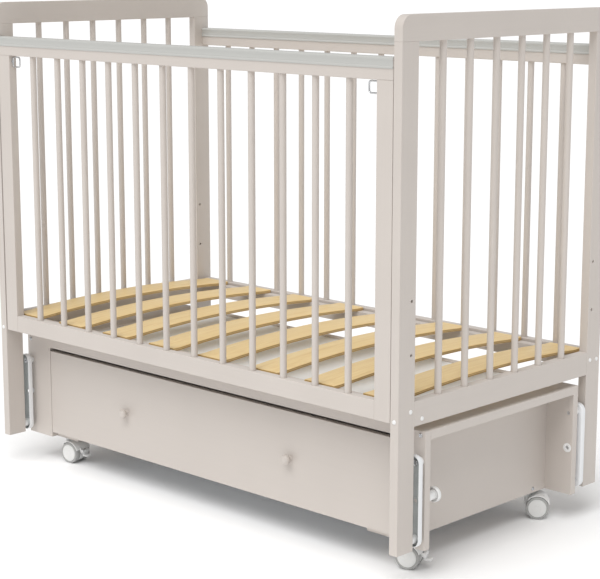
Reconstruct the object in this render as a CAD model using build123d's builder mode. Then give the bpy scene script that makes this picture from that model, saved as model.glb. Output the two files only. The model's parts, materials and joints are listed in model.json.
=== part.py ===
from build123d import *
import os
from math import cos, radians, sin

os.makedirs("parts", exist_ok=True)

# All sizes are millimetres. X runs along the crib, -Y is the front, Z is up.
# The origin is on the floor under the middle of the crib.

# Crib body
bed_length = 1203.0  # clear length between the end boards, for a 1200 mattress
crib_width = 663.0  # front to back over the posts
hang_height = 70.0  # the posts hang this far above the floor
post_height = 976.0
post_thick = 20.0
post_wide = 47.0
end_rail_height = 49.0
end_rail_corner = 25.0
bed_rail_top = 298.0  # top of every lower rail above the post's foot
edge_round = 1.5
groove_round = 0.8  # the softer edges that meet at a butt joint

# Bars
bar_diameter = 14.0
bar_socket_depth = 12.0
bar_socket_clearance = 0.4
end_bar_count = 6
front_bar_count = 12
rear_bar_count = 13
front_first_bar = 76.0  # from the stile to the middle of the first bar

# Front and rear sides
side_thick = 20.0
side_setback = 1.5  # behind the posts' outer faces
side_top = 947.0  # top of the side rails above the post's foot
side_top_rail_height = 41.5
side_bottom_rail_height = 38.0
stile_wide = 40.0
side_running_gap = 2.5  # between a post and the sliding front side
front_side_travel = 150.0

# Teething covers
cover_wall = 1.5
cover_height = 21.5
cover_end_gap = 0.5

# Slatted base
base_rail_thick = 20.0
base_rail_height = 32.0
base_rail_setback = 4.0  # from the inner face of the side rails
slat_count = 8
slat_wide = 80.0
slat_thick = 8.0
slat_bow = 12.0
slat_flat_end = 20.0
slat_end_gap = 12.0  # from the end board to the first slat
slat_rise = 2.0  # the slats' ends stand this far above the lower rails
base_heights = (280.0, 390.0, 494.0)  # of the base's bolt holes above the post's foot
stretcher_thick = 20.0
stretcher_height = 24.0
stretcher_inset = 59.5  # from the posts' front faces to the front of the stretcher

# Pendulum box
board_thick = 16.0
box_height = 240.0
link_space = 31.5  # between a post and the box board beside it
wing_margin = 12.5  # from the pivot to the end of the box
wing_reach = 69.0  # from the end panel to the end of the box
top_strip = 20.0  # the front frame above the drawer
end_shelf_thick = 18.0
dust_cover_thick = 3.0
dust_cover_drop = 4.0
board_round = 1.0
castor_board_wide = 78.0
castor_board_thick = 18.0
castor_board_gap = 0.5  # behind the closed drawer's front

# Swing links
link_length = 153.0  # between the pivots
lower_pivot_height = 19.5  # above the post's foot
link_half_width = 16.5
link_depth = 12.0
link_wall = 1.8
link_web = 2.0
link_post_gap = 8.5  # from the link's open side to the post
pivot_radius = 4.0
pivot_clearance = 0.08
open_pivot_clearance = 0.3  # at the three lower pivots that are left open
bush_radius = 9.0
side_gap = 0.3  # between a link and the bush beside it
pivot_head_radius = 7.0
pivot_head_thick = 4.0
pivot_grip = 30.0  # length of a lower bolt inside the post
link_rib_height = 0.8
link_rib_length = 46.0
link_rib_wide = 15.0
link_rib_inset = 41.3  # from a pivot to the middle of the rib beside it

# Swing locks
lock_pin_radius = 4.0
lock_clearance = 0.1
lock_bush_radius = 7.0
lock_flange_radius = 10.0
lock_flange_thick = 1.5
lock_sleeve_radius = 10.0
lock_sleeve_length = 22.5
lock_knob_radius = 16.0
lock_knob_thick = 9.0
lock_knob_round = 2.25
lock_tip_setback = 0.5  # the pin ends this far inside the board's outer face

# Drawer
drawer_side_gap = 1.5
drawer_bottom_gap = 12.0  # the front's lower edge above the box's underside
drawer_top_gap = 7.5
drawer_wall = 12.0
drawer_wall_height = 140.0
drawer_wall_lift = 20.0  # the walls' lower edge above the front's lower edge
drawer_back_gap = 32.0  # from the drawer's back to the box's back panel
drawer_floor_thick = 3.0
drawer_floor_lift = 11.0
floor_groove = 5.0
sheet_gap = 0.1  # round a sheet in its groove
runner_space = 13.0
runner_height = 28.0
runner_drop = 15.0  # the runners' middle below the middle of the drawer's walls
runner_sheet = 1.2
runner_setback = 7.0
runner_end_gap = 35.0  # from the runners' rear end to the drawer's back
runner_plate_drop = 7.0  # the drawer's runner below the channel's middle
flange_drop = 5.0  # the drawer's flange below the channel's top
roller_gap = 0.3
front_roller_radius = 8.0
knob_spread = 260.0  # from the middle to each knob
knob_radius = 11.0
knob_neck_radius = 6.0
knob_length = 20.0
knob_neck_length = 7.0
knob_dish = 3.0
knob_dome = 5.0

# Castors
wheel_radius = 25.0
wheel_wide = 16.0
wheel_gap = 1.0
wheel_round = 2.0
tread_depth = 4.5  # from the tread to the ring groove in the wheel's outer face
tread_groove = 1.5
tread_groove_depth = 1.2
castor_web = 14.0
castor_web_inset = 2.0  # the web's edge inside the tread
castor_headroom = 9.0  # from the hood to the underside of the box
castor_trail = 22.0
castor_inset = 11.0  # from the end panel's inner face to the swivel
castor_setback = 41.0  # from the box's outer face to the swivel
castor_screw_inset = 18.0  # from the swivel towards the middle of the box
castor_plate = 40.0
castor_plate_thick = 2.5
stem_radius = 3.5
stem_length = 22.0
stem_clearance = 0.08
boss_radius = 6.8
boss_rise = 5.0  # the boss starts this far above the axle
axle_radius = 3.0
axle_clearance = 0.08
axle_reach = 12.8  # into each wheel
hood_gap = 1.5
hood_wall = 2.0
hood_wide = 46.0
hood_angles = (20, 140)  # from the trailing direction
neck_angles = (25, 140)
neck_overlap = 1.0  # between the web and the neck that carries the hood
ear_thick = 3.0
ear_radius = 4.5
ear_angles = (8, 30)
ear_root = 2.0  # outside the hood
pedal_barrel = 3.2
pedal_out = 3.0  # from the hood's outer face to the pedal's hinge
pedal_up = 6.0  # from the axle up to the pedal's hinge
pedal_drop = 8.0  # from the hinge down to the pedal's upper face
pedal_wide = 16.0
pedal_thick = 4.0
pedal_tongue = 14.0
pedal_pin_radius = 1.5
pedal_clearance = 0.08

# Fasteners
cap_radius = 5.5
cap_thick = 1.6
cap_round = 0.8
bolt_radius = 3.0
bolt_clearance = 0.1
bolt_grip = 35.0  # length of a bolt inside the rail
guide_pin_radius = 4.0
guide_clearance = 0.3
guide_pin_grip = 12.0
guide_pin_height = 265.0  # the lower pin above the post's foot
guide_pin_upper = 700.0
stile_groove_depth = 8.0
set_screw_radius = 2.0
set_cap_radius = 4.5
latch_height = 892.0
latch_radius = 3.5
latch_clearance = 0.1
latch_tip_gap = 0.3
latch_catch_depth = 10.0
loop_wide = 28.5
loop_height = 26.0
loop_wall = 3.6
loop_thick = 4.0
loop_corner = 7.0
loop_hang = 1.5  # below the top rail
dowel_radius = 4.0
dowel_length = 30.0
dowel_spread = 12.0  # each side of the middle of the post
dowel_low = 10.0  # the lower dowel above the lower rail's underside
dowel_high = 8.0  # the upper dowel below the lower rail's top
screw_head_radius = 4.5
screw_head_thick = 1.8
screw_radius = 2.5
screw_length = 50.0

# Levels and places that follow from the sizes above
foot = hang_height
post_top = foot + post_height
inner_x = bed_length / 2
outer_x = inner_x + post_thick
pivot_x = inner_x + post_thick / 2
front_y = crib_width / 2
post_inner_y = front_y - post_wide
rail_top = foot + bed_rail_top
side_outer_y = front_y - side_setback
side_inner_y = side_outer_y - side_thick
side_mid_y = (side_outer_y + side_inner_y) / 2
side_rail_top = foot + side_top
side_rail_low = side_rail_top - side_top_rail_height
side_bottom_low = rail_top - side_bottom_rail_height
base_outer_y = side_inner_y - base_rail_setback
base_inner_y = base_outer_y - base_rail_thick
base_mid_y = (base_outer_y + base_inner_y) / 2
base_top = rail_top + slat_rise - slat_thick
base_low = base_top - base_rail_height
base_bolt_z = foot + base_heights[0]
front_side_x = inner_x - side_running_gap
stile_inner_x = front_side_x - stile_wide
stretcher_front = front_y - stretcher_inset
stretcher_mid_y = stretcher_front - stretcher_thick / 2
end_rail_low = rail_top - end_rail_height
stretcher_mid_z = end_rail_low + stretcher_height / 2

box_y = post_inner_y - link_space
box_inner_y = box_y - board_thick
box_x = pivot_x + wing_margin
panel_outer_x = box_x - wing_reach
panel_inner_x = panel_outer_x - board_thick
box_low = 2 * wheel_radius + hood_gap + hood_wall + castor_headroom
box_top = box_low + box_height
shelf_low = box_top - end_shelf_thick
strip_low = box_top - top_strip
cover_top_z = box_top - dust_cover_drop
lower_pivot_z = foot + lower_pivot_height
upper_pivot_z = lower_pivot_z + link_length
lock_z = lower_pivot_z + link_length / 2
link_open_y = post_inner_y - link_post_gap
link_web_y = link_open_y - link_depth

front_low = box_low + drawer_bottom_gap
front_top = strip_low - drawer_top_gap
drawer_x = panel_inner_x - runner_space
wall_low = front_low + drawer_wall_lift
wall_top = wall_low + drawer_wall_height
floor_low = wall_low + drawer_floor_lift
drawer_back_y = box_inner_y - drawer_back_gap
runner_mid_z = (wall_low + wall_top) / 2 - runner_drop
runner_front_y = -box_inner_y + runner_setback
runner_rear_y = drawer_back_y - runner_end_gap
castor_x = panel_inner_x - castor_inset
castor_y = box_y - castor_setback


def block(x, y, z, mode=Mode.ADD):
    # a box between two limits on each axis
    centre = ((x[0] + x[1]) / 2, (y[0] + y[1]) / 2, (z[0] + z[1]) / 2)
    with Locations(centre):
        Box(abs(x[1] - x[0]), abs(y[1] - y[0]), abs(z[1] - z[0]), mode=mode)


def rod(start, end, radius, mode=Mode.ADD):
    # a cylinder along one axis, from one point to another
    middle = tuple((a + b) / 2 for a, b in zip(start, end))
    spans = [abs(b - a) for a, b in zip(start, end)]
    turn = {0: (0, 90, 0), 1: (90, 0, 0), 2: (0, 0, 0)}[spans.index(max(spans))]
    with Locations(Location(middle)):
        Cylinder(radius, max(spans), rotation=turn, mode=mode)


def save(piece, name):
    piece.part.label = name
    export_step(piece.part, f"parts/{name}.step")


def spread(low, high, count):
    # evenly spaced places between two limits, the same gap at the ends
    step = (high - low) / (count + 1)
    return [low + step * (i + 1) for i in range(count)]


end_bar_places = spread(-post_inner_y, post_inner_y, end_bar_count)
rear_bar_places = spread(-inner_x, inner_x, rear_bar_count)
front_bar_span = stile_inner_x - front_first_bar
front_bar_step = 2 * front_bar_span / (front_bar_count - 1)
front_bar_places = [-front_bar_span + front_bar_step * i for i in range(front_bar_count)]
dowel_offsets = (-dowel_spread, dowel_spread)
lower_dowels = (end_rail_low + dowel_low, rail_top - dowel_high)
socket_radius = bar_diameter / 2 + bar_socket_clearance


# Posts
def post(side, face):
    # side is -1 or 1 along X, face is -1 or 1 along Y
    with BuildPart() as piece:
        block((side * inner_x, side * outer_x), (face * front_y, face * post_inner_y), (foot, post_top))
        fillet(piece.edges(), groove_round)
        for height in base_heights:
            start = (side * inner_x, face * base_mid_y, foot + height)
            end = (side * outer_x, face * base_mid_y, foot + height)
            rod(start, end, bolt_radius + bolt_clearance, Mode.SUBTRACT)
        for offset in dowel_offsets:
            y = face * (front_y - post_wide / 2 + offset)
            top = (side * pivot_x, y, post_top)
            rod((side * pivot_x, y, post_top - dowel_length / 2), top, dowel_radius, Mode.SUBTRACT)
        for z in lower_dowels:
            start = (side * pivot_x, face * post_inner_y, z)
            end = (side * pivot_x, face * (post_inner_y + dowel_length / 2), z)
            rod(start, end, dowel_radius, Mode.SUBTRACT)
        start = (side * pivot_x, face * post_inner_y, lower_pivot_z)
        end = (side * pivot_x, face * (post_inner_y + pivot_grip), lower_pivot_z)
        rod(start, end, pivot_radius, Mode.SUBTRACT)
        if face < 0:
            for height in (guide_pin_height, guide_pin_upper):
                start = (side * inner_x, -side_mid_y, foot + height)
                end = (side * (inner_x + guide_pin_grip), -side_mid_y, foot + height)
                rod(start, end, guide_pin_radius, Mode.SUBTRACT)
            start = (side * pivot_x, -front_y, foot + guide_pin_height)
            end = (side * pivot_x, -side_mid_y, foot + guide_pin_height)
            rod(start, end, set_screw_radius, Mode.SUBTRACT)
            start = (side * inner_x, -side_mid_y, foot + latch_height)
            end = (side * (inner_x + latch_catch_depth), -side_mid_y, foot + latch_height)
            rod(start, end, latch_radius + guide_clearance, Mode.SUBTRACT)
        else:
            for z in (rail_top - side_bottom_rail_height / 2, side_rail_top - side_top_rail_height / 2):
                start = (side * inner_x, side_mid_y, z)
                end = (side * outer_x, side_mid_y, z)
                rod(start, end, bolt_radius + bolt_clearance, Mode.SUBTRACT)
    return piece


for side, side_name in ((-1, "left"), (1, "right")):
    for face, face_name in ((-1, "front"), (1, "rear")):
        corner_post = post(side, face)
        save(corner_post, f"post_{face_name}_{side_name}")

# End boards: a wide top rail over both posts, a lower rail and bars between them
with BuildPart() as end_top_rails:
    for side in (-1, 1):
        middle = side * pivot_x
        with BuildSketch(Plane.YZ.offset(middle)):
            with Locations((0, post_top + end_rail_height / 2)):
                Rectangle(crib_width, end_rail_height)
        extrude(amount=post_thick / 2, both=True)
    upright = end_top_rails.edges().filter_by(Axis.X)
    fillet(upright.group_by(Axis.Z)[-1], end_rail_corner)
    fillet(end_top_rails.edges(), groove_round)
    for side in (-1, 1):
        middle = side * pivot_x
        for y in end_bar_places:
            rod((middle, y, post_top), (middle, y, post_top + bar_socket_depth), socket_radius, Mode.SUBTRACT)
        for face in (-1, 1):
            for offset in dowel_offsets:
                y = face * (front_y - post_wide / 2 + offset)
                top = (middle, y, post_top + dowel_length / 2)
                rod((middle, y, post_top), top, dowel_radius, Mode.SUBTRACT)
save(end_top_rails, "end_top_rails")

stretcher_hole = bolt_radius + bolt_clearance
with BuildPart() as end_bottom_rails:
    for side in (-1, 1):
        block((side * inner_x, side * outer_x), (-post_inner_y, post_inner_y), (end_rail_low, rail_top))
    fillet(end_bottom_rails.edges(), groove_round)
    for side in (-1, 1):
        middle = side * pivot_x
        for y in end_bar_places:
            rod((middle, y, rail_top - bar_socket_depth), (middle, y, rail_top), socket_radius, Mode.SUBTRACT)
        for face in (-1, 1):
            for z in lower_dowels:
                end = (middle, face * post_inner_y, z)
                rod((middle, face * (post_inner_y - dowel_length / 2), z), end, dowel_radius, Mode.SUBTRACT)
        start = (side * inner_x, -stretcher_mid_y, stretcher_mid_z)
        rod(start, (side * outer_x, -stretcher_mid_y, stretcher_mid_z), stretcher_hole, Mode.SUBTRACT)
save(end_bottom_rails, "end_bottom_rails")

with BuildPart() as end_bars:
    for side in (-1, 1):
        for y in end_bar_places:
            low = (side * pivot_x, y, rail_top - bar_socket_depth)
            rod(low, (side * pivot_x, y, post_top + bar_socket_depth), bar_diameter / 2)
save(end_bars, "end_bars")

with BuildPart() as end_board_dowels:
    for side in (-1, 1):
        for face in (-1, 1):
            for offset in dowel_offsets:
                y = face * (front_y - post_wide / 2 + offset)
                low = (side * pivot_x, y, post_top - dowel_length / 2)
                rod(low, (side * pivot_x, y, post_top + dowel_length / 2), dowel_radius)
            for z in lower_dowels:
                start = (side * pivot_x, face * (post_inner_y - dowel_length / 2), z)
                rod(start, (side * pivot_x, face * (post_inner_y + dowel_length / 2), z), dowel_radius)
save(end_board_dowels, "end_board_dowels")


# Rear side, fixed between the rear posts
def side_rail(half_length, face, low, high, bar_places, socket_low, bolt_places=()):
    y = face * side_mid_y
    with BuildPart() as rail:
        block((-half_length, half_length), (face * side_outer_y, face * side_inner_y), (low, high))
        fillet(rail.edges(), edge_round)
        for x in bar_places:
            rod((x, y, socket_low), (x, y, socket_low + bar_socket_depth), socket_radius, Mode.SUBTRACT)
        for end in bolt_places:
            z = (low + high) / 2
            start = (end * (half_length - bolt_grip), y, z)
            rod(start, (end * half_length, y, z), bolt_radius, Mode.SUBTRACT)
    return rail


def side_bars(places, y):
    with BuildPart() as bars:
        for x in places:
            low = (x, y, lower_socket)
            rod(low, (x, y, side_rail_low + bar_socket_depth), bar_diameter / 2)
    return bars


# Teething covers, plastic channels pushed over the side rails
def teething_cover(half_length, face):
    middle = face * side_mid_y
    top = side_rail_top + cover_wall
    half = side_thick / 2
    x = (-half_length, half_length)
    with BuildPart() as cover:
        block(x, (middle - half - cover_wall, middle + half + cover_wall), (top - cover_height, top))
        ridge = cover.edges().filter_by(Axis.X).group_by(Axis.Z)[-1]
        fillet(ridge, edge_round + cover_wall)
        block(x, (middle - half, middle + half), (top - cover_height, side_rail_top), Mode.SUBTRACT)
        inner_ridge = cover.edges().filter_by(Axis.X).group_by(Axis.Z)[-2]
        fillet(inner_ridge, edge_round)
    return cover


lower_socket = rail_top - bar_socket_depth
both_ends = (-1, 1)
rear_top_rail = side_rail(inner_x, 1, side_rail_low, side_rail_top, rear_bar_places, side_rail_low, both_ends)
rear_bottom_rail = side_rail(inner_x, 1, side_bottom_low, rail_top, rear_bar_places, lower_socket, both_ends)
rear_bars = side_bars(rear_bar_places, side_mid_y)
rear_teething_cover = teething_cover(inner_x - cover_end_gap, 1)
save(rear_top_rail, "rear_top_rail")
save(rear_bottom_rail, "rear_bottom_rail")
save(rear_bars, "rear_bars")
save(rear_teething_cover, "rear_teething_cover")

# Front side, which slides down between the front posts
front_top_rail = side_rail(front_side_x, -1, side_rail_low, side_rail_top, front_bar_places, side_rail_low)
front_bottom_rail = side_rail(stile_inner_x, -1, side_bottom_low, rail_top, front_bar_places, lower_socket)
front_bars = side_bars(front_bar_places, -side_mid_y)
front_teething_cover = teething_cover(front_side_x - cover_end_gap, -1)
save(front_top_rail, "front_top_rail")
save(front_bottom_rail, "front_bottom_rail")
save(front_bars, "front_bars")
save(front_teething_cover, "front_teething_cover")

groove_half = guide_pin_radius + guide_clearance
groove_top = foot + guide_pin_upper + front_side_travel + 2 * guide_pin_radius
with BuildPart() as front_stiles:
    for side in (-1, 1):
        stile_x = (side * stile_inner_x, side * front_side_x)
        block(stile_x, (-side_outer_y, -side_inner_y), (side_bottom_low, side_rail_low))
    fillet(front_stiles.edges(), groove_round)
    for side in (-1, 1):
        groove_x = (side * (front_side_x - stile_groove_depth), side * front_side_x)
        groove_y = (-side_mid_y - groove_half, -side_mid_y + groove_half)
        block(groove_x, groove_y, (side_bottom_low, groove_top), Mode.SUBTRACT)
        start = (side * stile_inner_x, -side_mid_y, foot + latch_height)
        end = (side * front_side_x, -side_mid_y, foot + latch_height)
        rod(start, end, latch_radius + latch_clearance, Mode.SUBTRACT)
save(front_stiles, "front_stiles")


# Release loops: a finger ring on a sliding bolt, one in each stile
def release_latch(side):
    ring_outer = side * (stile_inner_x - latch_tip_gap)
    ring_inner = ring_outer - side * loop_wide
    ring_top = side_rail_low - loop_hang
    ring_mid = ((ring_outer + ring_inner) / 2, ring_top - loop_height / 2)
    with BuildPart() as latch:
        with BuildSketch(Plane.XZ.offset(side_mid_y)):
            with Locations(ring_mid):
                RectangleRounded(loop_wide, loop_height, loop_corner)
                RectangleRounded(loop_wide - 2 * loop_wall, loop_height - 2 * loop_wall,
                                 loop_corner - loop_wall, mode=Mode.SUBTRACT)
        extrude(amount=loop_thick / 2, both=True)
        start = (ring_outer - side * loop_wall / 2, -side_mid_y, foot + latch_height)
        end = (side * (inner_x - latch_tip_gap), -side_mid_y, foot + latch_height)
        rod(start, end, latch_radius)
    return latch


for side, side_name in ((-1, "left"), (1, "right")):
    release_loop = release_latch(side)
    save(release_loop, f"release_latch_{side_name}")

with BuildPart() as guide_pins:
    for side in (-1, 1):
        for height in (guide_pin_height, guide_pin_upper):
            tip = front_side_x - stile_groove_depth + guide_clearance
            start = (side * tip, -side_mid_y, foot + height)
            end = (side * (inner_x + guide_pin_grip), -side_mid_y, foot + height)
            rod(start, end, guide_pin_radius)
save(guide_pins, "guide_pins")

# Slatted base on two rails bolted between the posts
with BuildPart() as base_rails:
    for face in (-1, 1):
        block((-inner_x, inner_x), (face * base_outer_y, face * base_inner_y), (base_low, base_top))
    fillet(base_rails.edges().filter_by(Axis.X), groove_round)
    for face in (-1, 1):
        for side in (-1, 1):
            start = (side * (inner_x - bolt_grip), face * base_mid_y, base_bolt_z)
            end = (side * inner_x, face * base_mid_y, base_bolt_z)
            rod(start, end, bolt_radius, Mode.SUBTRACT)
save(base_rails, "base_rails")

slat_half_y = base_outer_y
slat_turn_y = slat_half_y - slat_flat_end
slat_edge_x = inner_x - slat_end_gap - slat_wide / 2
slat_step = 2 * slat_edge_x / (slat_count - 1)
with BuildPart() as slats:
    for i in range(slat_count):
        with BuildSketch(Plane.YZ.offset(-slat_edge_x + slat_step * i)):
            with BuildLine():
                Line((-slat_half_y, base_top), (-slat_turn_y, base_top))
                ThreePointArc((-slat_turn_y, base_top), (0, base_top + slat_bow), (slat_turn_y, base_top))
                Line((slat_turn_y, base_top), (slat_half_y, base_top))
                Line((slat_half_y, base_top), (slat_half_y, base_top + slat_thick))
                Line((slat_half_y, base_top + slat_thick), (slat_turn_y, base_top + slat_thick))
                ThreePointArc((slat_turn_y, base_top + slat_thick), (0, base_top + slat_thick + slat_bow),
                              (-slat_turn_y, base_top + slat_thick))
                Line((-slat_turn_y, base_top + slat_thick), (-slat_half_y, base_top + slat_thick))
                Line((-slat_half_y, base_top + slat_thick), (-slat_half_y, base_top))
            make_face()
        extrude(amount=slat_wide / 2, both=True)
save(slats, "slats")

with BuildPart() as front_stretcher:
    block((-inner_x, inner_x), (-stretcher_front, -stretcher_front + stretcher_thick),
          (end_rail_low, end_rail_low + stretcher_height))
    fillet(front_stretcher.edges().filter_by(Axis.X), groove_round)
    for side in (-1, 1):
        start = (side * (inner_x - bolt_grip), -stretcher_mid_y, stretcher_mid_z)
        rod(start, (side * inner_x, -stretcher_mid_y, stretcher_mid_z), bolt_radius, Mode.SUBTRACT)
save(front_stretcher, "front_stretcher")

# Bolts with white caps, through the end boards, and the set screws of the guide pins
rail_bolts = [(-base_mid_y, base_bolt_z), (base_mid_y, base_bolt_z)]
rail_bolts.append((side_mid_y, rail_top - side_bottom_rail_height / 2))
rail_bolts.append((side_mid_y, side_rail_top - side_top_rail_height / 2))
rail_bolts.append((-stretcher_mid_y, stretcher_mid_z))
with BuildPart() as cap_screws:
    for side in (-1, 1):
        for y, z in rail_bolts:
            rod((side * (inner_x - bolt_grip), y, z), (side * outer_x, y, z), bolt_radius)
            rod((side * outer_x, y, z), (side * (outer_x + cap_thick), y, z), cap_radius)
        head = (side * pivot_x, -front_y, foot + guide_pin_height)
        tip = (head[0], -side_mid_y - guide_pin_radius, head[2])
        rod(head, tip, set_screw_radius)
        rod((head[0], -front_y - cap_thick, head[2]), head, set_cap_radius)
    circles = cap_screws.edges().filter_by(GeomType.CIRCLE)
    outer_rims = [e for e in circles if abs(e.center().X) > outer_x + cap_thick / 2]
    front_rims = [e for e in circles if e.center().Y < -front_y - cap_thick / 2]
    fillet(outer_rims + front_rims, cap_round)
save(cap_screws, "cap_screws")


# Pendulum box
with BuildPart() as box_front_frame:
    block((-box_x, box_x), (-box_y, -box_inner_y), (box_low, box_top))
    block((-panel_inner_x, panel_inner_x), (-box_y, -box_inner_y), (box_low, strip_low), Mode.SUBTRACT)
    fillet(box_front_frame.edges(), board_round)
    cover_groove_z = (cover_top_z - dust_cover_thick - sheet_gap, cover_top_z + sheet_gap)
    groove_y = (-box_inner_y - floor_groove, -box_inner_y)
    block((-panel_inner_x, panel_inner_x), groove_y, cover_groove_z, Mode.SUBTRACT)
    for side in (-1, 1):
        x = side * pivot_x
        rod((x, -box_y, upper_pivot_z), (x, -box_inner_y, upper_pivot_z), pivot_radius, Mode.SUBTRACT)
        rod((x, -box_y, lock_z), (x, -box_inner_y, lock_z), lock_bush_radius, Mode.SUBTRACT)
        z = shelf_low + end_shelf_thick / 2
        rod((x, -box_y, z), (x, -box_inner_y, z), screw_radius, Mode.SUBTRACT)
save(box_front_frame, "box_front_frame")

with BuildPart() as box_back_panel:
    block((-box_x, box_x), (box_inner_y, box_y), (box_low, box_top))
    fillet(box_back_panel.edges(), board_round)
    groove_y = (box_inner_y, box_inner_y + floor_groove)
    block((-panel_inner_x, panel_inner_x), groove_y, cover_groove_z, Mode.SUBTRACT)
    for side in (-1, 1):
        x = side * pivot_x
        rod((x, box_inner_y, upper_pivot_z), (x, box_y, upper_pivot_z), pivot_radius, Mode.SUBTRACT)
        rod((x, box_inner_y, lock_z), (x, box_y, lock_z), lock_bush_radius, Mode.SUBTRACT)
        z = shelf_low + end_shelf_thick / 2
        rod((x, box_inner_y, z), (x, box_y, z), screw_radius, Mode.SUBTRACT)
save(box_back_panel, "box_back_panel")

with BuildPart() as box_end_shelves:
    for side in (-1, 1):
        block((side * panel_inner_x, side * box_x), (-box_inner_y, box_inner_y), (shelf_low, box_top))
    fillet(box_end_shelves.edges().filter_by(Axis.Y), board_round)
    for side in (-1, 1):
        for face in (-1, 1):
            z = shelf_low + end_shelf_thick / 2
            inner = (side * pivot_x, face * (box_y - screw_length), z)
            rod(inner, (side * pivot_x, face * box_inner_y, z), screw_radius, Mode.SUBTRACT)
save(box_end_shelves, "box_end_shelves")

with BuildPart() as dust_cover:
    block((-panel_inner_x, panel_inner_x), (-box_inner_y - floor_groove, box_inner_y + floor_groove),
          (cover_top_z - dust_cover_thick, cover_top_z))
save(dust_cover, "dust_cover")

castor_board_inner = panel_inner_x - castor_board_wide
castor_screw_z = box_low + castor_board_thick / 2
castor_screw_y = castor_y - castor_screw_inset
with BuildPart() as box_end_panels:
    for side in (-1, 1):
        block((side * panel_inner_x, side * panel_outer_x), (-box_inner_y, box_inner_y), (box_low, shelf_low))
    fillet(box_end_panels.edges().filter_by(Axis.Y), board_round)
    for side in (-1, 1):
        for face in (-1, 1):
            start = (side * panel_inner_x, face * castor_screw_y, castor_screw_z)
            end = (side * panel_outer_x, face * castor_screw_y, castor_screw_z)
            rod(start, end, screw_radius, Mode.SUBTRACT)
save(box_end_panels, "box_end_panels")

with BuildPart() as castor_boards:
    for side in (-1, 1):
        board_x = (side * castor_board_inner, side * panel_inner_x)
        board_y = (-box_inner_y + castor_board_gap, box_inner_y)
        block(board_x, board_y, (box_low, box_low + castor_board_thick))
    fillet(castor_boards.edges().filter_by(Axis.Y), board_round)
    for side in (-1, 1):
        for face in (-1, 1):
            start = (side * (panel_outer_x - screw_length), face * castor_screw_y, castor_screw_z)
            end = (side * panel_inner_x, face * castor_screw_y, castor_screw_z)
            rod(start, end, screw_radius, Mode.SUBTRACT)
save(castor_boards, "castor_boards")

with BuildPart() as box_screws:
    for side in (-1, 1):
        for face in (-1, 1):
            z = shelf_low + end_shelf_thick / 2
            head = (side * pivot_x, face * box_y, z)
            rod((side * pivot_x, face * (box_y - screw_length), z), head, screw_radius)
            rod(head, (side * pivot_x, face * (box_y + screw_head_thick), z), screw_head_radius)
            y = face * castor_screw_y
            head = (side * panel_outer_x, y, castor_screw_z)
            rod((side * (panel_outer_x - screw_length), y, castor_screw_z), head, screw_radius)
            rod(head, (side * (panel_outer_x + screw_head_thick), y, castor_screw_z), screw_head_radius)
save(box_screws, "box_screws")


# Swing links: pressed channels, open towards the post
def link_plane(side, face, y):
    # local X is the row's X, local Y is up, the normal points to the post
    return Plane(origin=(side * pivot_x, face * y, 0), x_dir=(-face, 0, 0), z_dir=(0, face, 0))


def swing_link(side, face, lower_clearance):
    middle_z = (lower_pivot_z + upper_pivot_z) / 2
    total = link_length + 2 * link_half_width
    with BuildPart() as link:
        with BuildSketch(link_plane(side, face, link_web_y)):
            with Locations((0, middle_z)):
                SlotOverall(total, 2 * link_half_width, rotation=90)
        extrude(amount=link_depth)
        back = link.faces().sort_by(Axis.Y)[0 if face > 0 else -1]
        fillet(back.edges(), link_wall)
        with BuildSketch(link_plane(side, face, link_web_y + link_web)):
            with Locations((0, middle_z)):
                SlotOverall(total - 2 * link_wall, 2 * (link_half_width - link_wall), rotation=90)
        extrude(amount=link_depth, mode=Mode.SUBTRACT)
        with BuildSketch(link_plane(side, face, link_web_y + link_web)):
            for rib_z in (lower_pivot_z + link_rib_inset, upper_pivot_z - link_rib_inset):
                with Locations((0, rib_z)):
                    SlotOverall(link_rib_length, link_rib_wide, rotation=90)
            with Locations((0, upper_pivot_z), (0, lower_pivot_z), (0, middle_z)):
                Circle(bush_radius)
        extrude(amount=link_rib_height)
        through = link_web + 2 * link_rib_height
        with BuildSketch(link_plane(side, face, link_web_y - link_rib_height)):
            with Locations((0, upper_pivot_z)):
                Circle(pivot_radius + pivot_clearance)
            with Locations((0, middle_z)):
                Circle(lock_pin_radius + open_pivot_clearance)
            with Locations((0, lower_pivot_z)):
                Circle(pivot_radius + lower_clearance)
        extrude(amount=2 * through, mode=Mode.SUBTRACT)
    return link


corners = []
for side, side_name in ((-1, "left"), (1, "right")):
    for face, face_name in ((-1, "front"), (1, "rear")):
        corners.append((side, face, f"{face_name}_{side_name}"))

for side, face, corner in corners:
    carries_crib = corner == "front_right"
    link = swing_link(side, face, pivot_clearance if carries_crib else open_pivot_clearance)
    save(link, f"swing_link_{corner}")

web_inner_y = link_web_y + link_web + link_rib_height  # the raised ring round each hole
with BuildPart() as upper_pivot_bolts:
    for side, face, corner in corners:
        head = (side * pivot_x, face * (web_inner_y + side_gap), upper_pivot_z)
        rod((side * pivot_x, face * box_inner_y, upper_pivot_z), head, pivot_radius)
        rod(head, (head[0], head[1] + face * pivot_head_thick, upper_pivot_z), pivot_head_radius)
save(upper_pivot_bolts, "upper_pivot_bolts")

with BuildPart() as upper_pivot_bushes:
    for side, face, corner in corners:
        start = (side * pivot_x, face * box_y, upper_pivot_z)
        end = (side * pivot_x, face * (link_web_y - side_gap), upper_pivot_z)
        rod(start, end, bush_radius)
        rod(start, end, pivot_radius, Mode.SUBTRACT)
save(upper_pivot_bushes, "upper_pivot_bushes")

with BuildPart() as lower_pivot_bolts:
    for side, face, corner in corners:
        head = (side * pivot_x, face * (link_web_y - side_gap), lower_pivot_z)
        rod(head, (side * pivot_x, face * (post_inner_y + pivot_grip), lower_pivot_z), pivot_radius)
        rod((head[0], head[1] - face * pivot_head_thick, lower_pivot_z), head, pivot_head_radius)
save(lower_pivot_bolts, "lower_pivot_bolts")

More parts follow.
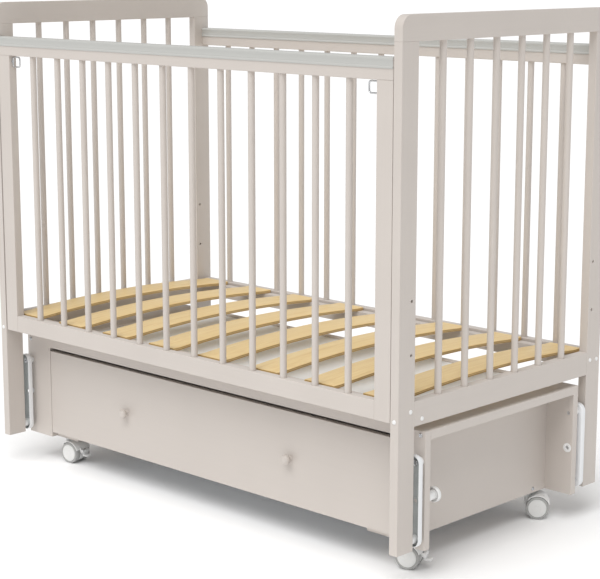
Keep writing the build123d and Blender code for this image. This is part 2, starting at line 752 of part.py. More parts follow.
with BuildPart() as lower_pivot_bushes:
    for side, face, corner in corners:
        start = (side * pivot_x, face * (web_inner_y + side_gap), lower_pivot_z)
        end = (side * pivot_x, face * post_inner_y, lower_pivot_z)
        rod(start, end, bush_radius)
        rod(start, end, pivot_radius, Mode.SUBTRACT)
save(lower_pivot_bushes, "lower_pivot_bushes")

# Lock bushes in the box boards; the front ones have a sleeve for the lock bolt
lock_bore = lock_pin_radius + lock_clearance
with BuildPart() as lock_bushes:
    for side, face, corner in corners:
        x = side * pivot_x
        rod((x, face * box_y, lock_z), (x, face * box_inner_y, lock_z), lock_bush_radius)
        if face < 0:
            end = (x, face * (box_inner_y - lock_sleeve_length), lock_z)
            rod((x, face * box_inner_y, lock_z), end, lock_sleeve_radius)
        else:
            end = (x, face * (box_inner_y - lock_flange_thick), lock_z)
            rod((x, face * box_inner_y, lock_z), end, lock_flange_radius)
        rod((x, face * box_y, lock_z), end, lock_bore, Mode.SUBTRACT)
save(lock_bushes, "lock_bushes")


def lock_bolt(side):
    x = side * pivot_x
    seat = -(box_inner_y - lock_sleeve_length - side_gap)
    with BuildPart() as bolt:
        rod((x, seat, lock_z), (x, seat + lock_knob_thick, lock_z), lock_knob_radius)
        fillet(bolt.edges().filter_by(GeomType.CIRCLE), lock_knob_round)
        rod((x, -box_y + lock_tip_setback, lock_z), (x, seat, lock_z), lock_pin_radius)
    return bolt


for side, side_name in ((-1, "left"), (1, "right")):
    knob_bolt = lock_bolt(side)
    save(knob_bolt, f"lock_bolt_{side_name}")

# Drawer
front_x = panel_inner_x - drawer_side_gap
with BuildPart() as drawer_front:
    block((-front_x, front_x), (-box_y, -box_inner_y), (front_low, front_top))
    fillet(drawer_front.edges(), board_round)
    groove_y = (-box_inner_y - floor_groove, -box_inner_y)
    groove_z = (floor_low - sheet_gap, floor_low + drawer_floor_thick + sheet_gap)
    block((-drawer_x + drawer_wall, drawer_x - drawer_wall), groove_y, groove_z, Mode.SUBTRACT)
save(drawer_front, "drawer_front")

with BuildPart() as drawer_sides:
    for side in (-1, 1):
        block((side * (drawer_x - drawer_wall), side * drawer_x), (-box_inner_y, drawer_back_y),
              (wall_low, wall_top))
    fillet(drawer_sides.edges().filter_by(Axis.Y), board_round)
    for side in (-1, 1):
        groove_x = (side * (drawer_x - drawer_wall), side * (drawer_x - drawer_wall + floor_groove))
        block(groove_x, (-box_inner_y, drawer_back_y), groove_z, Mode.SUBTRACT)
save(drawer_sides, "drawer_sides")

floor_x = drawer_x - drawer_wall + floor_groove
with BuildPart() as drawer_floor:
    block((-drawer_x + drawer_wall, drawer_x - drawer_wall), (-box_inner_y - floor_groove, -box_inner_y),
          (floor_low, floor_low + drawer_floor_thick))
    block((-floor_x, floor_x), (-box_inner_y, drawer_back_y), (floor_low, floor_low + drawer_floor_thick))
save(drawer_floor, "drawer_floor")

with BuildPart() as drawer_back:
    block((-drawer_x + drawer_wall, drawer_x - drawer_wall), (drawer_back_y - drawer_wall, drawer_back_y),
          (floor_low + drawer_floor_thick, wall_top))
    fillet(drawer_back.edges().filter_by(Axis.X), board_round)
save(drawer_back, "drawer_back")

knob_z = (front_low + front_top) / 2
with BuildPart() as drawer_knobs:
    for x in (-knob_spread, knob_spread):
        with BuildSketch(Plane(origin=(x, -box_y, knob_z), x_dir=(1, 0, 0), z_dir=(0, 0, 1))):
            with BuildLine():
                Polyline((0, -knob_length), (0, 0), (knob_neck_radius, 0),
                         (knob_neck_radius, -knob_neck_length),
                         (knob_radius, -knob_neck_length - knob_dish),
                         (knob_radius, -knob_length + knob_dome))
                EllipticalCenterArc((0, -knob_length + knob_dome), knob_radius, knob_dome, 270, arc_size=90)
            make_face()
        revolve(axis=Axis((x, -box_y, knob_z), (0, 1, 0)))
save(drawer_knobs, "drawer_knobs")

# Drawer runners: a channel with a front roller on the box, an angle with a rear roller on the drawer
channel_low = runner_mid_z - runner_height / 2
channel_top = runner_mid_z + runner_height / 2
rear_roller_radius = runner_height / 2 - runner_sheet - roller_gap
flange_z = channel_top - flange_drop
lip_inner = drawer_x + 2 * runner_sheet
with BuildPart() as cabinet_runners:
    for side in (-1, 1):
        y = (runner_front_y, runner_rear_y)
        back =(side * (panel_inner_x - runner_sheet), side * panel_inner_x)
        lip = (side * lip_inner, side * (panel_inner_x - runner_sheet))
        block(back, y, (channel_low, channel_top))
        block(lip, y, (channel_low, channel_low + runner_sheet))
        block(lip, y, (channel_top - runner_sheet, channel_top))
        roller_z = flange_z - front_roller_radius - roller_gap
        roller_y = runner_front_y + front_roller_radius
        start = (side * lip_inner, roller_y, roller_z)
        end = (side * (panel_inner_x - runner_sheet), roller_y, roller_z)
        rod(start, end, front_roller_radius)
save(cabinet_runners, "cabinet_runners")

flange_outer = panel_inner_x - 2 * runner_sheet
with BuildPart() as drawer_runners:
    for side in (-1, 1):
        y = (runner_front_y, runner_rear_y)
        plate = (side * drawer_x, side * (drawer_x + runner_sheet))
        block(plate, y, (runner_mid_z - runner_plate_drop, flange_z + runner_sheet))
        rear_y = runner_rear_y - rear_roller_radius
        flange_y = (runner_front_y, rear_y - rear_roller_radius)
        block((side * drawer_x, side * flange_outer), flange_y, (flange_z, flange_z + runner_sheet))
        start = (side * (drawer_x + runner_sheet), rear_y, runner_mid_z)
        rod(start, (side * flange_outer, rear_y, runner_mid_z), rear_roller_radius)
save(drawer_runners, "drawer_runners")


# Castors: a fixed plate with its stem, a swivel body with hood and axle, and twin wheels
class Castor:
    def __init__(self, side, face, corner, heading, braked):
        self.corner = corner
        self.braked = braked
        turn = radians(heading)
        self.ahead = (cos(turn), sin(turn), 0)
        self.across = (sin(turn), -cos(turn), 0)
        self.swivel = (side * castor_x, face * castor_y)
        # local X trails away from the swivel, local Y is up, local Z is the axle's line
        self.profile = Plane(origin=(*self.swivel, 0), x_dir=self.ahead, z_dir=self.across)
        axle_x = self.swivel[0] + castor_trail * self.ahead[0]
        axle_y = self.swivel[1] + castor_trail * self.ahead[1]
        self.axle = Plane(origin=(axle_x, axle_y, wheel_radius), x_dir=self.ahead, z_dir=self.across)


castors = [
    Castor(-1, -1, "front_left", 7.0, True),
    Castor(1, -1, "front_right", 21.0, True),
    Castor(-1, 1, "rear_left", 15.0, False),
    Castor(1, 1, "rear_right", 37.0, False),
]

plate_low = box_low - castor_plate_thick
with BuildPart() as castor_plates:
    for castor in castors:
        x, y = castor.swivel
        half = castor_plate / 2
        block((x - half, x + half), (y - half, y + half), (plate_low, box_low))
        rod((x, y, plate_low - stem_length), (x, y, plate_low), stem_radius)
save(castor_plates, "castor_plates")

boss_top = plate_low - side_gap
hood_inner = wheel_radius + hood_gap
hood_outer = hood_inner + hood_wall
web_radius = wheel_radius - castor_web_inset
pedal_hinge = (castor_trail + hood_outer + pedal_out, wheel_radius + pedal_up)


def arc_sector(inner, outer, angles):
    # a ring sector round the axle, angles in degrees from the trailing direction
    start, end = angles
    with BuildSketch(mode=Mode.PRIVATE) as sector:
        with BuildLine():
            CenterArc((castor_trail, wheel_radius), inner, start, end - start)
            CenterArc((castor_trail, wheel_radius), outer, start, end - start)
            for angle in (start, end):
                across = (cos(radians(angle)), sin(radians(angle)))
                near = (castor_trail + inner * across[0], wheel_radius + inner * across[1])
                far = (castor_trail + outer * across[0], wheel_radius + outer * across[1])
                Line(near, far)
        make_face()
    return sector.sketch


def castor_body(castor):
    with BuildPart() as body:
        with BuildSketch(castor.profile):
            with Locations((castor_trail, wheel_radius)):
                Circle(web_radius)
            add(arc_sector(web_radius - neck_overlap, hood_inner + neck_overlap, neck_angles))
        extrude(amount=castor_web / 2, both=True)
        with BuildSketch(castor.profile):
            add(arc_sector(hood_inner, hood_outer, hood_angles))
        extrude(amount=hood_wide / 2, both=True)
        x, y = castor.swivel
        rod((x, y, wheel_radius + boss_rise), (x, y, boss_top), boss_radius)
        bore_low = (x, y, plate_low - stem_length - side_gap)
        rod(bore_low, (x, y, boss_top), stem_radius + stem_clearance, Mode.SUBTRACT)
        if castor.braked:
            ear_place = pedal_wide / 2 + side_gap + ear_thick / 2
            for offset in (-ear_place, ear_place):
                with BuildSketch(castor.profile.offset(offset)):
                    with Locations(pedal_hinge):
                        Circle(ear_radius)
                    add(arc_sector(hood_inner, hood_outer + ear_root, ear_angles))
                extrude(amount=ear_thick / 2, both=True)
            with BuildSketch(castor.profile):
                with Locations(pedal_hinge):
                    Circle(pedal_pin_radius)
            extrude(amount=ear_place, both=True)
        with BuildSketch(castor.axle):
            Circle(axle_radius)
        extrude(amount=castor_web / 2 + wheel_gap + axle_reach, both=True)
    return body


def castor_wheels(castor):
    near = castor_web / 2 + wheel_gap
    far = near + wheel_wide
    with BuildPart() as wheels:
        for end in (-1, 1):
            with BuildSketch(castor.axle.offset(end * near)):
                Circle(wheel_radius)
            extrude(amount=end * wheel_wide)
        rims = wheels.edges().filter_by(GeomType.CIRCLE)
        fillet(rims, wheel_round)
        for end in (-1, 1):
            with BuildSketch(castor.axle.offset(end * far)):
                Circle(wheel_radius - tread_depth)
                Circle(wheel_radius - tread_depth - tread_groove, mode=Mode.SUBTRACT)
            extrude(amount=-end * tread_groove_depth, mode=Mode.SUBTRACT)
            with BuildSketch(castor.axle.offset(end * near)):
                Circle(axle_radius + axle_clearance)
            extrude(amount=end * (axle_reach + side_gap), mode=Mode.SUBTRACT)
    return wheels


def brake_pedal(castor):
    x, z = pedal_hinge
    tip = (x + pedal_tongue, z - pedal_drop)
    with BuildPart() as pedal:
        with BuildSketch(castor.profile):
            with Locations(pedal_hinge):
                Circle(pedal_barrel)
            with BuildLine():
                Polyline((x - pedal_barrel, z), (x, tip[1] - pedal_thick), (tip[0], tip[1] - pedal_thick),
                         tip, (x + pedal_barrel, tip[1]), (x + pedal_barrel, z), close=True)
            make_face()
        extrude(amount=pedal_wide / 2, both=True)
        with BuildSketch(castor.profile):
            with Locations(pedal_hinge):
                Circle(pedal_pin_radius + pedal_clearance)
        extrude(amount=pedal_wide, both=True, mode=Mode.SUBTRACT)
    return pedal


for castor in castors:
    body = castor_body(castor)
    save(body, f"castor_body_{castor.corner}")
    wheels = castor_wheels(castor)
    save(wheels, f"castor_wheels_{castor.corner}")
    if castor.braked:
        pedal = brake_pedal(castor)
        save(pedal, f"brake_pedal_{castor.corner}")
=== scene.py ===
import json
import math

import bmesh
import bpy
from mathutils import Matrix, Vector


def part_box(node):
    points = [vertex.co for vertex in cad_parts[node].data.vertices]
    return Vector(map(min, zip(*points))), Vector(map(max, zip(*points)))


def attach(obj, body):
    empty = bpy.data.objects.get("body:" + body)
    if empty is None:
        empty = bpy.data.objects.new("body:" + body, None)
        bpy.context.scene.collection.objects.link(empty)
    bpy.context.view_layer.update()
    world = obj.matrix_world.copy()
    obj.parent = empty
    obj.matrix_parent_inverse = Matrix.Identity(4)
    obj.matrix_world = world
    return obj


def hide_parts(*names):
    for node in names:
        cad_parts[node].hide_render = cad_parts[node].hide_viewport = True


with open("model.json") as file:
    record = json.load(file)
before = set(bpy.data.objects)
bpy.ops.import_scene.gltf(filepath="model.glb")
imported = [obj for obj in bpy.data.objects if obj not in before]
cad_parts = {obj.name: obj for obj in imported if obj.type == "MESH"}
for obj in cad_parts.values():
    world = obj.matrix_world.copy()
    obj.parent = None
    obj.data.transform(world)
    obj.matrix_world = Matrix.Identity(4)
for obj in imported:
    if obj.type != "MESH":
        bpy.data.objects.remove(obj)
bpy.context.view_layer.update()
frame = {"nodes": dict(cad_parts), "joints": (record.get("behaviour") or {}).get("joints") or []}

nodes = frame["nodes"]
mm = 0.001


# tools for pieces and node trees


def hexColour(code):
    # sRGB hex to the linear values that shaders want
    channels = [int(code[i:i + 2], 16) / 255 for i in (1, 3, 5)]
    linear = [c / 12.92 if c <= 0.04045 else ((c + 0.055) / 1.055) ** 2.4 for c in channels]
    return (*linear, 1.0)


def addNode(tree, kind, settings=None, inputs=None):
    node = tree.nodes.new(kind)
    for key, value in (settings or {}).items():
        setattr(node, key, value)
    for key, value in (inputs or {}).items():
        if isinstance(value, bpy.types.NodeSocket):
            tree.links.new(value, node.inputs[key])
        else:
            node.inputs[key].default_value = value
    return node


def newMaterial(name, settings):
    material = bpy.data.materials.new(name)
    material.use_nodes = True
    tree = material.node_tree
    tree.nodes.clear()
    shader = addNode(tree, "ShaderNodeBsdfPrincipled", inputs=settings)
    addNode(tree, "ShaderNodeOutputMaterial", inputs={"Surface": shader.outputs[0]})
    where = addNode(tree, "ShaderNodeTexCoord").outputs["Object"]
    return material, tree, shader, where


def setMaterial(nodeName, material):
    for materialSlot in nodes[nodeName].material_slots:
        materialSlot.material = material


def keepPiece(mesh, name, body, recordSlot, *replaced, smoothAngle=40):
    # one finished piece: its place is in its mesh, and its object sits at the origin
    mesh.shade_smooth()
    mesh.set_sharp_from_angle(angle=math.radians(smoothAngle))
    piece = bpy.data.objects.new(name, mesh)
    bpy.context.scene.collection.objects.link(piece)
    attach(piece, body)
    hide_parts(*replaced)
    return piece


def meshFrom(shape, name, *materials):
    mesh = bpy.data.meshes.new(name)
    bmesh.ops.recalc_face_normals(shape, faces=shape.faces)
    shape.to_mesh(mesh)
    shape.free()
    for material in materials:
        mesh.materials.append(material)
    return mesh


def mergedCopy(nodeName):
    # a CAD node's mesh is loose triangles, so a copy is merged before it is used
    shape = bmesh.new()
    shape.from_mesh(nodes[nodeName].data)
    bmesh.ops.remove_doubles(shape, verts=shape.verts, dist=1e-6)
    return shape


def solidsOf(nodeName):
    # low and high corner of each separate solid of a CAD node
    shape = mergedCopy(nodeName)
    seen, boxes = set(), []
    for start in shape.verts:
        if start in seen:
            continue
        seen.add(start)
        waiting, found = [start], []
        while waiting:
            vert = waiting.pop()
            found.append(vert.co.copy())
            for edge in vert.link_edges:
                other = edge.other_vert(vert)
                if other not in seen:
                    seen.add(other)
                    waiting.append(other)
        low = Vector([min(co[i] for co in found) for i in range(3)])
        high = Vector([max(co[i] for co in found) for i in range(3)])
        boxes.append((low, high))
    shape.free()
    return boxes


def softened(nodeName, name, body, recordSlot, material, edgeRound):
    # the CAD node's own shape with small round edges
    shape = mergedCopy(nodeName)
    bmesh.ops.dissolve_limit(shape, angle_limit=math.radians(2), verts=shape.verts, edges=shape.edges)
    sharp = [edge for edge in shape.edges if edge.is_manifold and edge.calc_face_angle() > math.radians(38)]
    bmesh.ops.bevel(shape, geom=sharp, offset=edgeRound, offset_type="OFFSET", segments=2, profile=0.5,
                    affect="EDGES", clamp_overlap=True)
    return keepPiece(meshFrom(shape, name, material), name, body, recordSlot, nodeName)


def ring(radius, height, count=48, outline=None):
    # a closed loop of points round the local Z axis
    loop = []
    for i in range(count):
        angle = 2 * math.pi * i / count
        reach = outline(angle) if outline else radius
        loop.append(Vector((reach * math.cos(angle), reach * math.sin(angle), height)))
    return loop


def skin(shape, loops, place=Matrix.Identity(4), finish=lambda row: 0):
    # faces between loops of equal length, closed at both ends; finish picks each row's material
    rows = [[shape.verts.new(place @ point) for point in loop] for loop in loops]
    for number, (near, far) in enumerate(zip(rows, rows[1:])):
        for i in range(len(near)):
            j = (i + 1) % len(near)
            shape.faces.new((near[i], near[j], far[j], far[i])).material_index = finish(number)
    shape.faces.new(rows[0]).material_index = finish(0)
    shape.faces.new(rows[-1]).material_index = finish(len(rows) - 2)


def standAt(origin, axis):
    # a place whose local Z points along an axis
    return Matrix.Translation(origin) @ Vector(axis).to_track_quat("Z", "Y").to_matrix().to_4x4()


def newTree(name, sizes):
    # a geometry nodes tree with named inputs; kinds are Float, Int, Material or Object
    tree = bpy.data.node_groups.new(name, "GeometryNodeTree")
    tree.interface.new_socket("Geometry", in_out="INPUT", socket_type="NodeSocketGeometry")
    tree.interface.new_socket("Geometry", in_out="OUTPUT", socket_type="NodeSocketGeometry")
    for label, kind in sizes.items():
        tree.interface.new_socket(label, in_out="INPUT", socket_type="NodeSocket" + kind)
    return tree, tree.nodes.new("NodeGroupInput").outputs


def endTree(tree, geometry, material):
    real = addNode(tree, "GeometryNodeRealizeInstances", inputs={"Geometry": geometry})
    painted = addNode(tree, "GeometryNodeSetMaterial",
                      inputs={"Geometry": real.outputs[0], "Material": material})
    addNode(tree, "NodeGroupOutput", inputs={"Geometry": painted.outputs[0]})


def grow(name, tree, points, values, facing=None, reach=None):
    # runs a tree on a set of points and returns the result as a plain mesh
    # each point may carry the direction that it faces and how far its shank reaches back
    base = bpy.data.meshes.new(name + "Points")
    base.from_pydata(points, [], [])
    if facing:
        directions = base.attributes.new("facing", "FLOAT_VECTOR", "POINT")
        directions.data.foreach_set("vector", sum(facing, []))
        lengths = base.attributes.new("reach", "FLOAT", "POINT")
        lengths.data.foreach_set("value", reach)
    holder = bpy.data.objects.new(name + "Holder", base)
    bpy.context.scene.collection.objects.link(holder)
    modifier = holder.modifiers.new(name, "NODES")
    modifier.node_group = tree
    for socket in tree.interface.items_tree:
        if socket.in_out == "INPUT" and socket.name in values:
            modifier[socket.identifier] = values[socket.name]
    graph = bpy.context.evaluated_depsgraph_get()
    mesh = bpy.data.meshes.new_from_object(holder.evaluated_get(graph))
    bpy.data.objects.remove(holder)
    return mesh


# materials


def noiseNode(tree, where, scale, detail):
    return addNode(tree, "ShaderNodeTexNoise", inputs={"Vector": where, "Scale": scale, "Detail": detail})


def blendNode(tree, factor, look):
    # from the look's shade to its light tone
    return addNode(tree, "ShaderNodeMix", {"data_type": "RGBA"},
                   {"Factor": factor, "A": hexColour(look["shade"]), "B": hexColour(look["light"])})


def unevenGloss(tree, shader, pattern, roughness, smoother, rougher):
    # roughness that follows a pattern
    gloss = addNode(tree, "ShaderNodeMapRange", inputs={
        "Value": pattern, "From Min": 0.3, "From Max": 0.7, "To Min": roughness - smoother,
        "To Max": roughness + rougher})
    tree.links.new(gloss.outputs[0], shader.inputs["Roughness"])


def bumpNode(tree, height, strength, distance):
    return addNode(tree, "ShaderNodeBump",
                   inputs={"Height": height, "Strength": strength, "Distance": distance})


def sprayedPaint(name, paint, grainAxis, grainDepth, roughness):
    # Beech or board under sprayed satin enamel: an even warm grey with a soft wide gloss,
    # the grain faintly raised under the paint and a very fine orange peel.
    material, tree, shader, where = newMaterial(name, {"Roughness": roughness, "IOR": 1.48})
    along, across = 1 / (160 * mm), 1 / (5 * mm)  # a grain streak is about 160 mm long and 5 mm wide
    scale = [along if axis == grainAxis else across for axis in "XYZ"]
    mapping = addNode(tree, "ShaderNodeMapping", inputs={"Vector": where, "Scale": scale})
    grain = noiseNode(tree, mapping.outputs[0], 1.0, 4.0)
    cloud = noiseNode(tree, where, 1 / (180 * mm), 2.0)
    # peel is under 1 mm on the real paint, drawn at 4 mm so that it shows
    peel = noiseNode(tree, where, 1 / (4 * mm), 1.0)
    tone = addNode(tree, "ShaderNodeMath", {"operation": "MULTIPLY_ADD"},
                   {0: grain.outputs[0], 1: 0.35, 2: cloud.outputs[0]})
    ramp = addNode(tree, "ShaderNodeValToRGB", inputs={"Fac": tone.outputs[0]})
    ramp.color_ramp.elements[0].position = 0.35
    ramp.color_ramp.elements[0].color = hexColour(paint["shade"])
    ramp.color_ramp.elements[1].position = 0.95
    ramp.color_ramp.elements[1].color = hexColour(paint["light"])
    tree.links.new(ramp.outputs[0], shader.inputs["Base Color"])
    unevenGloss(tree, shader, cloud.outputs[0], roughness, 0.04, 0.05)
    raised = bumpNode(tree, grain.outputs[0], grainDepth, 0.4 * mm)
    peeled = bumpNode(tree, peel.outputs[0], 0.06, 0.3 * mm)
    tree.links.new(raised.outputs[0], peeled.inputs["Normal"])
    tree.links.new(peeled.outputs[0], shader.inputs["Normal"])
    return material


paintTones = {"light": "#CEC6BF", "shade": "#C8C0B9"}
boardTones = {"light": "#CDC5BE", "shade": "#C9C1BA"}
paintedBeechX = sprayedPaint("sprayedBeechAlongX", paintTones, "X", 0.16, 0.42)
paintedBeechY = sprayedPaint("sprayedBeechAlongY", paintTones, "Y", 0.16, 0.42)
paintedBeechZ = sprayedPaint("sprayedBeechUpright", paintTones, "Z", 0.16, 0.42)
paintedBoard = sprayedPaint("sprayedFibreboard", boardTones, "X", 0.03, 0.4)


def lacqueredBirch(name, tones):
    # Bent birch laminate under thin clear lacquer: straight yellow grain, darker layers at the edges
    material, tree, shader, where = newMaterial(name, {"Roughness": 0.38, "IOR": 1.5, "Coat Weight": 0.15,
                                                       "Coat Roughness": 0.25})
    # the figure's streaks are 7 mm wide and 320 mm long, and the pores 2.2 mm and 90 mm
    streaks = [1 / (7 * mm), 1 / (320 * mm), 1 / (7 * mm)]
    mapping = addNode(tree, "ShaderNodeMapping", inputs={"Vector": where, "Scale": streaks})
    tone = addNode(tree, "ShaderNodeAttribute", {"attribute_name": "slatTone"})
    figure = addNode(tree, "ShaderNodeTexNoise", {"noise_dimensions": "4D"},
                     {"Vector": mapping.outputs[0], "W": tone.outputs["Fac"], "Scale": 1.0, "Detail": 5.0,
                      "Distortion": 0.4})
    specks = [1 / (2.2 * mm), 1 / (90 * mm), 1 / (2.2 * mm)]
    fine = addNode(tree, "ShaderNodeMapping", inputs={"Vector": where, "Scale": specks})
    pores = noiseNode(tree, fine.outputs[0], 1.0, 3.0)
    ramp = addNode(tree, "ShaderNodeValToRGB", inputs={"Fac": figure.outputs[0]})
    ramp.color_ramp.elements[0].position = 0.25
    ramp.color_ramp.elements[0].color = hexColour(tones["streak"])
    ramp.color_ramp.elements[1].position = 0.72
    ramp.color_ramp.elements[1].color = hexColour(tones["pale"])
    middle = ramp.color_ramp.elements.new(0.45)
    middle.color = hexColour(tones["body"])
    speckled = addNode(tree, "ShaderNodeMix", {"data_type": "RGBA", "blend_type": "MULTIPLY"},
                       {"Factor": 0.2, "A": ramp.outputs[0]})
    poreRamp = addNode(tree, "ShaderNodeValToRGB", inputs={"Fac": pores.outputs[0]})
    poreRamp.color_ramp.elements[0].position = 0.34
    poreRamp.color_ramp.elements[0].color = hexColour(tones["pore"])
    poreRamp.color_ramp.elements[1].position = 0.5
    poreRamp.color_ramp.elements[1].color = (1, 1, 1, 1)
    tree.links.new(poreRamp.outputs[0], speckled.inputs["B"])
    # five layers through the thickness, dark and pale in turn at the slat's long edges
    through = addNode(tree, "ShaderNodeAttribute", {"attribute_name": "slatThrough"})
    layers = addNode(tree, "ShaderNodeMath", {"operation": "MULTIPLY"}, {0: through.outputs["Fac"], 1: 5.0})
    wave = addNode(tree, "ShaderNodeMath", {"operation": "PINGPONG"}, {0: layers.outputs[0], 1: 1.0})
    depth = addNode(tree, "ShaderNodeMath", {"operation": "ABSOLUTE"}, {0: through.outputs["Fac"]})
    onEdge = addNode(tree, "ShaderNodeMath", {"operation": "LESS_THAN"}, {0: depth.outputs[0], 1: 0.42})
    dark = addNode(tree, "ShaderNodeMath", {"operation": "MULTIPLY"},
                   {0: wave.outputs[0], 1: onEdge.outputs[0]})
    edged = addNode(tree, "ShaderNodeMix", {"data_type": "RGBA"},
                    {"Factor": dark.outputs[0], "A": speckled.outputs["Result"],
                     "B": hexColour(tones["edge"])})
    tree.links.new(edged.outputs["Result"], shader.inputs["Base Color"])
    bump = bumpNode(tree, pores.outputs[0], 0.15, 0.3 * mm)
    tree.links.new(bump.outputs[0], shader.inputs["Normal"])
    return material


birchLaminate = lacqueredBirch("lacqueredBirchLaminate", {
    "pale": "#F1D69F", "body": "#ECCE92", "streak": "#E2BF7E", "pore": "#D9B679", "edge": "#A9824A"})


def mouldedPlastic(name, look):
    # Moulded or extruded plastic: even colour, soft gloss and a faint mottle from the mould's fine etching
    material, tree, shader, where = newMaterial(name, {"IOR": look["ior"], "Roughness": look["roughness"],
                                                       "Subsurface Weight": look["glow"],
                                                       "Subsurface Radius": (2 * mm, 2 * mm, 2 * mm),
                                                       "Subsurface Scale": 1.0})
    mottle = noiseNode(tree, where, 1 / look["mottle"], 3.0)
    colour = blendNode(tree, mottle.outputs[0], look)
    tree.links.new(colour.outputs["Result"], shader.inputs["Base Color"])
    unevenGloss(tree, shader, mottle.outputs[0], look["roughness"], look["uneven"], look["uneven"])
    etch = noiseNode(tree, where, 1 / look["etch"], 1.0)
    bump = bumpNode(tree, etch.outputs[0], look["relief"], 0.2 * mm)
    tree.links.new(bump.outputs[0], shader.inputs["Normal"])
    return material


whiteNylon = mouldedPlastic("mouldedWhiteNylon", {
    "light": "#EEEEED", "shade": "#E8E8E7", "roughness": 0.32, "uneven": 0.05, "ior": 1.53, "glow": 0.05,
    "mottle": 20 * mm, "etch": 2 * mm, "relief": 0.05})
castorNylon = mouldedPlastic("mouldedPaleGreyNylon", {
    "light": "#E8E8E6", "shade": "#E2E2E0", "roughness": 0.36, "uneven": 0.05, "ior": 1.53, "glow": 0.03,
    "mottle": 20 * mm, "etch": 2 * mm, "relief": 0.05})
greyTread = mouldedPlastic("mouldedGreyRubberTread", {
    "light": "#B2B2B0", "shade": "#A8A8A6", "roughness": 0.55, "uneven": 0.06, "ior": 1.5, "glow": 0.0,
    "mottle": 10 * mm, "etch": 1.5 * mm, "relief": 0.1})
teethingPlastic = mouldedPlastic("extrudedGreyPolypropylene", {
    "light": "#BCBCB8", "shade": "#B9B9B5", "roughness": 0.26, "uneven": 0.01, "ior": 1.49, "glow": 0.0,
    "mottle": 400 * mm, "etch": 30 * mm, "relief": 0.01})


def coatedSteel(name, look):
    # Pressed steel under powder coat: satin, with the coat's fine pebbled skin
    material, tree, shader, where = newMaterial(name, {"IOR": 1.5, "Roughness": look["roughness"],
                                                       "Coat Weight": 0.2, "Coat Roughness": 0.2})
    pebble = addNode(tree, "ShaderNodeTexVoronoi", inputs={"Vector": where, "Scale": 1 / (1.5 * mm)})
    smear = noiseNode(tree, where, 1 / (30 * mm), 3.0)
    colour = blendNode(tree, smear.outputs[0], look)
    tree.links.new(colour.outputs["Result"], shader.inputs["Base Color"])
    bump = bumpNode(tree, pebble.outputs[0], 0.1, 0.2 * mm)
    tree.links.new(bump.outputs[0], shader.inputs["Normal"])
    return material


whiteEnamel = coatedSteel("powderCoatedWhiteSteel", {"light": "#F2F3F4", "shade": "#E6E8EA", "roughness": 0.3})
# painted shade: this grey stands for the shade that falls inside the swing links' channels
paintedShadeEnamel = coatedSteel("powderCoatedSteelPaintedShade", {"light": "#B9BDBC", "shade": "#A9ADAC", "roughness": 0.34})


def platedSteel(name, look):
    # Bright zinc plate over turned or pressed steel: cool grey metal with soft cloudy blooms
    material, tree, shader, where = newMaterial(name, {"Metallic": 1.0, "Roughness": look["roughness"]})
    bloom = noiseNode(tree, where, 1 / (6 * mm), 4.0)
    colour = blendNode(tree, bloom.outputs[0], look)
    tree.links.new(colour.outputs["Result"], shader.inputs["Base Color"])
    unevenGloss(tree, shader, bloom.outputs[0], look["roughness"], 0.06, 0.1)
    return material


zincSteel = platedSteel("brightZincSteel", {"light": "#D9DADC", "shade": "#BFC1C4", "roughness": 0.28})


def fibrousFace(name, look):
    # A dry face with a fine short fibre figure: thin fibreboard rolled white, or sawn beech left bare
    material, tree, shader, where = newMaterial(name, {"Roughness": 0.5, "IOR": 1.5})
    fibre = noiseNode(tree, where, 1 / (12 * mm), 5.0)
    fibre.inputs["Distortion"].default_value = 1.0
    colour = blendNode(tree, fibre.outputs[0], look)
    tree.links.new(colour.outputs["Result"], shader.inputs["Base Color"])
    bump = bumpNode(tree, fibre.outputs[0], 0.08, 0.3 * mm)
    tree.links.new(bump.outputs[0], shader.inputs["Normal"])
    return material


whiteHardboard = fibrousFace("rolledWhiteHardboard", {"light": "#EBEDEF", "shade": "#E2E5E8"})
plainBeech = fibrousFace("sawnBeech", {"light": "#DDBE98", "shade": "#CDA87E"})

nodeMaterials = {
    paintedBeechX: ["rear_top_rail", "rear_bottom_rail", "front_top_rail", "front_bottom_rail", "base_rails",
                    "front_stretcher", "drawer_knobs"],
    paintedBeechY: ["end_top_rails", "end_bottom_rails"],
    paintedBeechZ: ["post_front_left", "post_front_right", "post_rear_left", "post_rear_right", "front_stiles",
                    "end_bars", "rear_bars", "front_bars"],
    paintedBoard: ["box_front_frame", "box_back_panel", "box_end_shelves", "box_end_panels", "castor_boards",
                   "drawer_front", "drawer_sides", "drawer_back"],
    whiteHardboard: ["dust_cover", "drawer_floor"],
    birchLaminate: ["slats"],
    plainBeech: ["end_board_dowels"],
    teethingPlastic: ["front_teething_cover", "rear_teething_cover"],
    whiteNylon: ["lock_bushes", "lock_bolt_left", "lock_bolt_right", "upper_pivot_bushes",
                 "lower_pivot_bushes", "brake_pedal_front_left", "brake_pedal_front_right"],
    whiteEnamel: ["cap_screws", "cabinet_runners", "drawer_runners"],
    zincSteel: ["upper_pivot_bolts", "lower_pivot_bolts", "box_screws", "castor_plates", "guide_pins",
                "release_latch_left", "release_latch_right"],
}
corners = ["front_left", "front_right", "rear_left", "rear_right"]
nodeMaterials[whiteEnamel] += ["swing_link_" + corner for corner in corners]
nodeMaterials[whiteNylon] += ["castor_body_" + corner for corner in corners]
nodeMaterials[whiteNylon] += ["castor_wheels_" + corner for corner in corners]
for material, names in nodeMaterials.items():
    for nodeName in names:
        setMaterial(nodeName, material)
print("materials are on the frame")


# round bars of the end boards and both sides, each turned by its own angle round its length

barLook = {"sides": 28, "seed": 7, "mostTurn": 6.28}


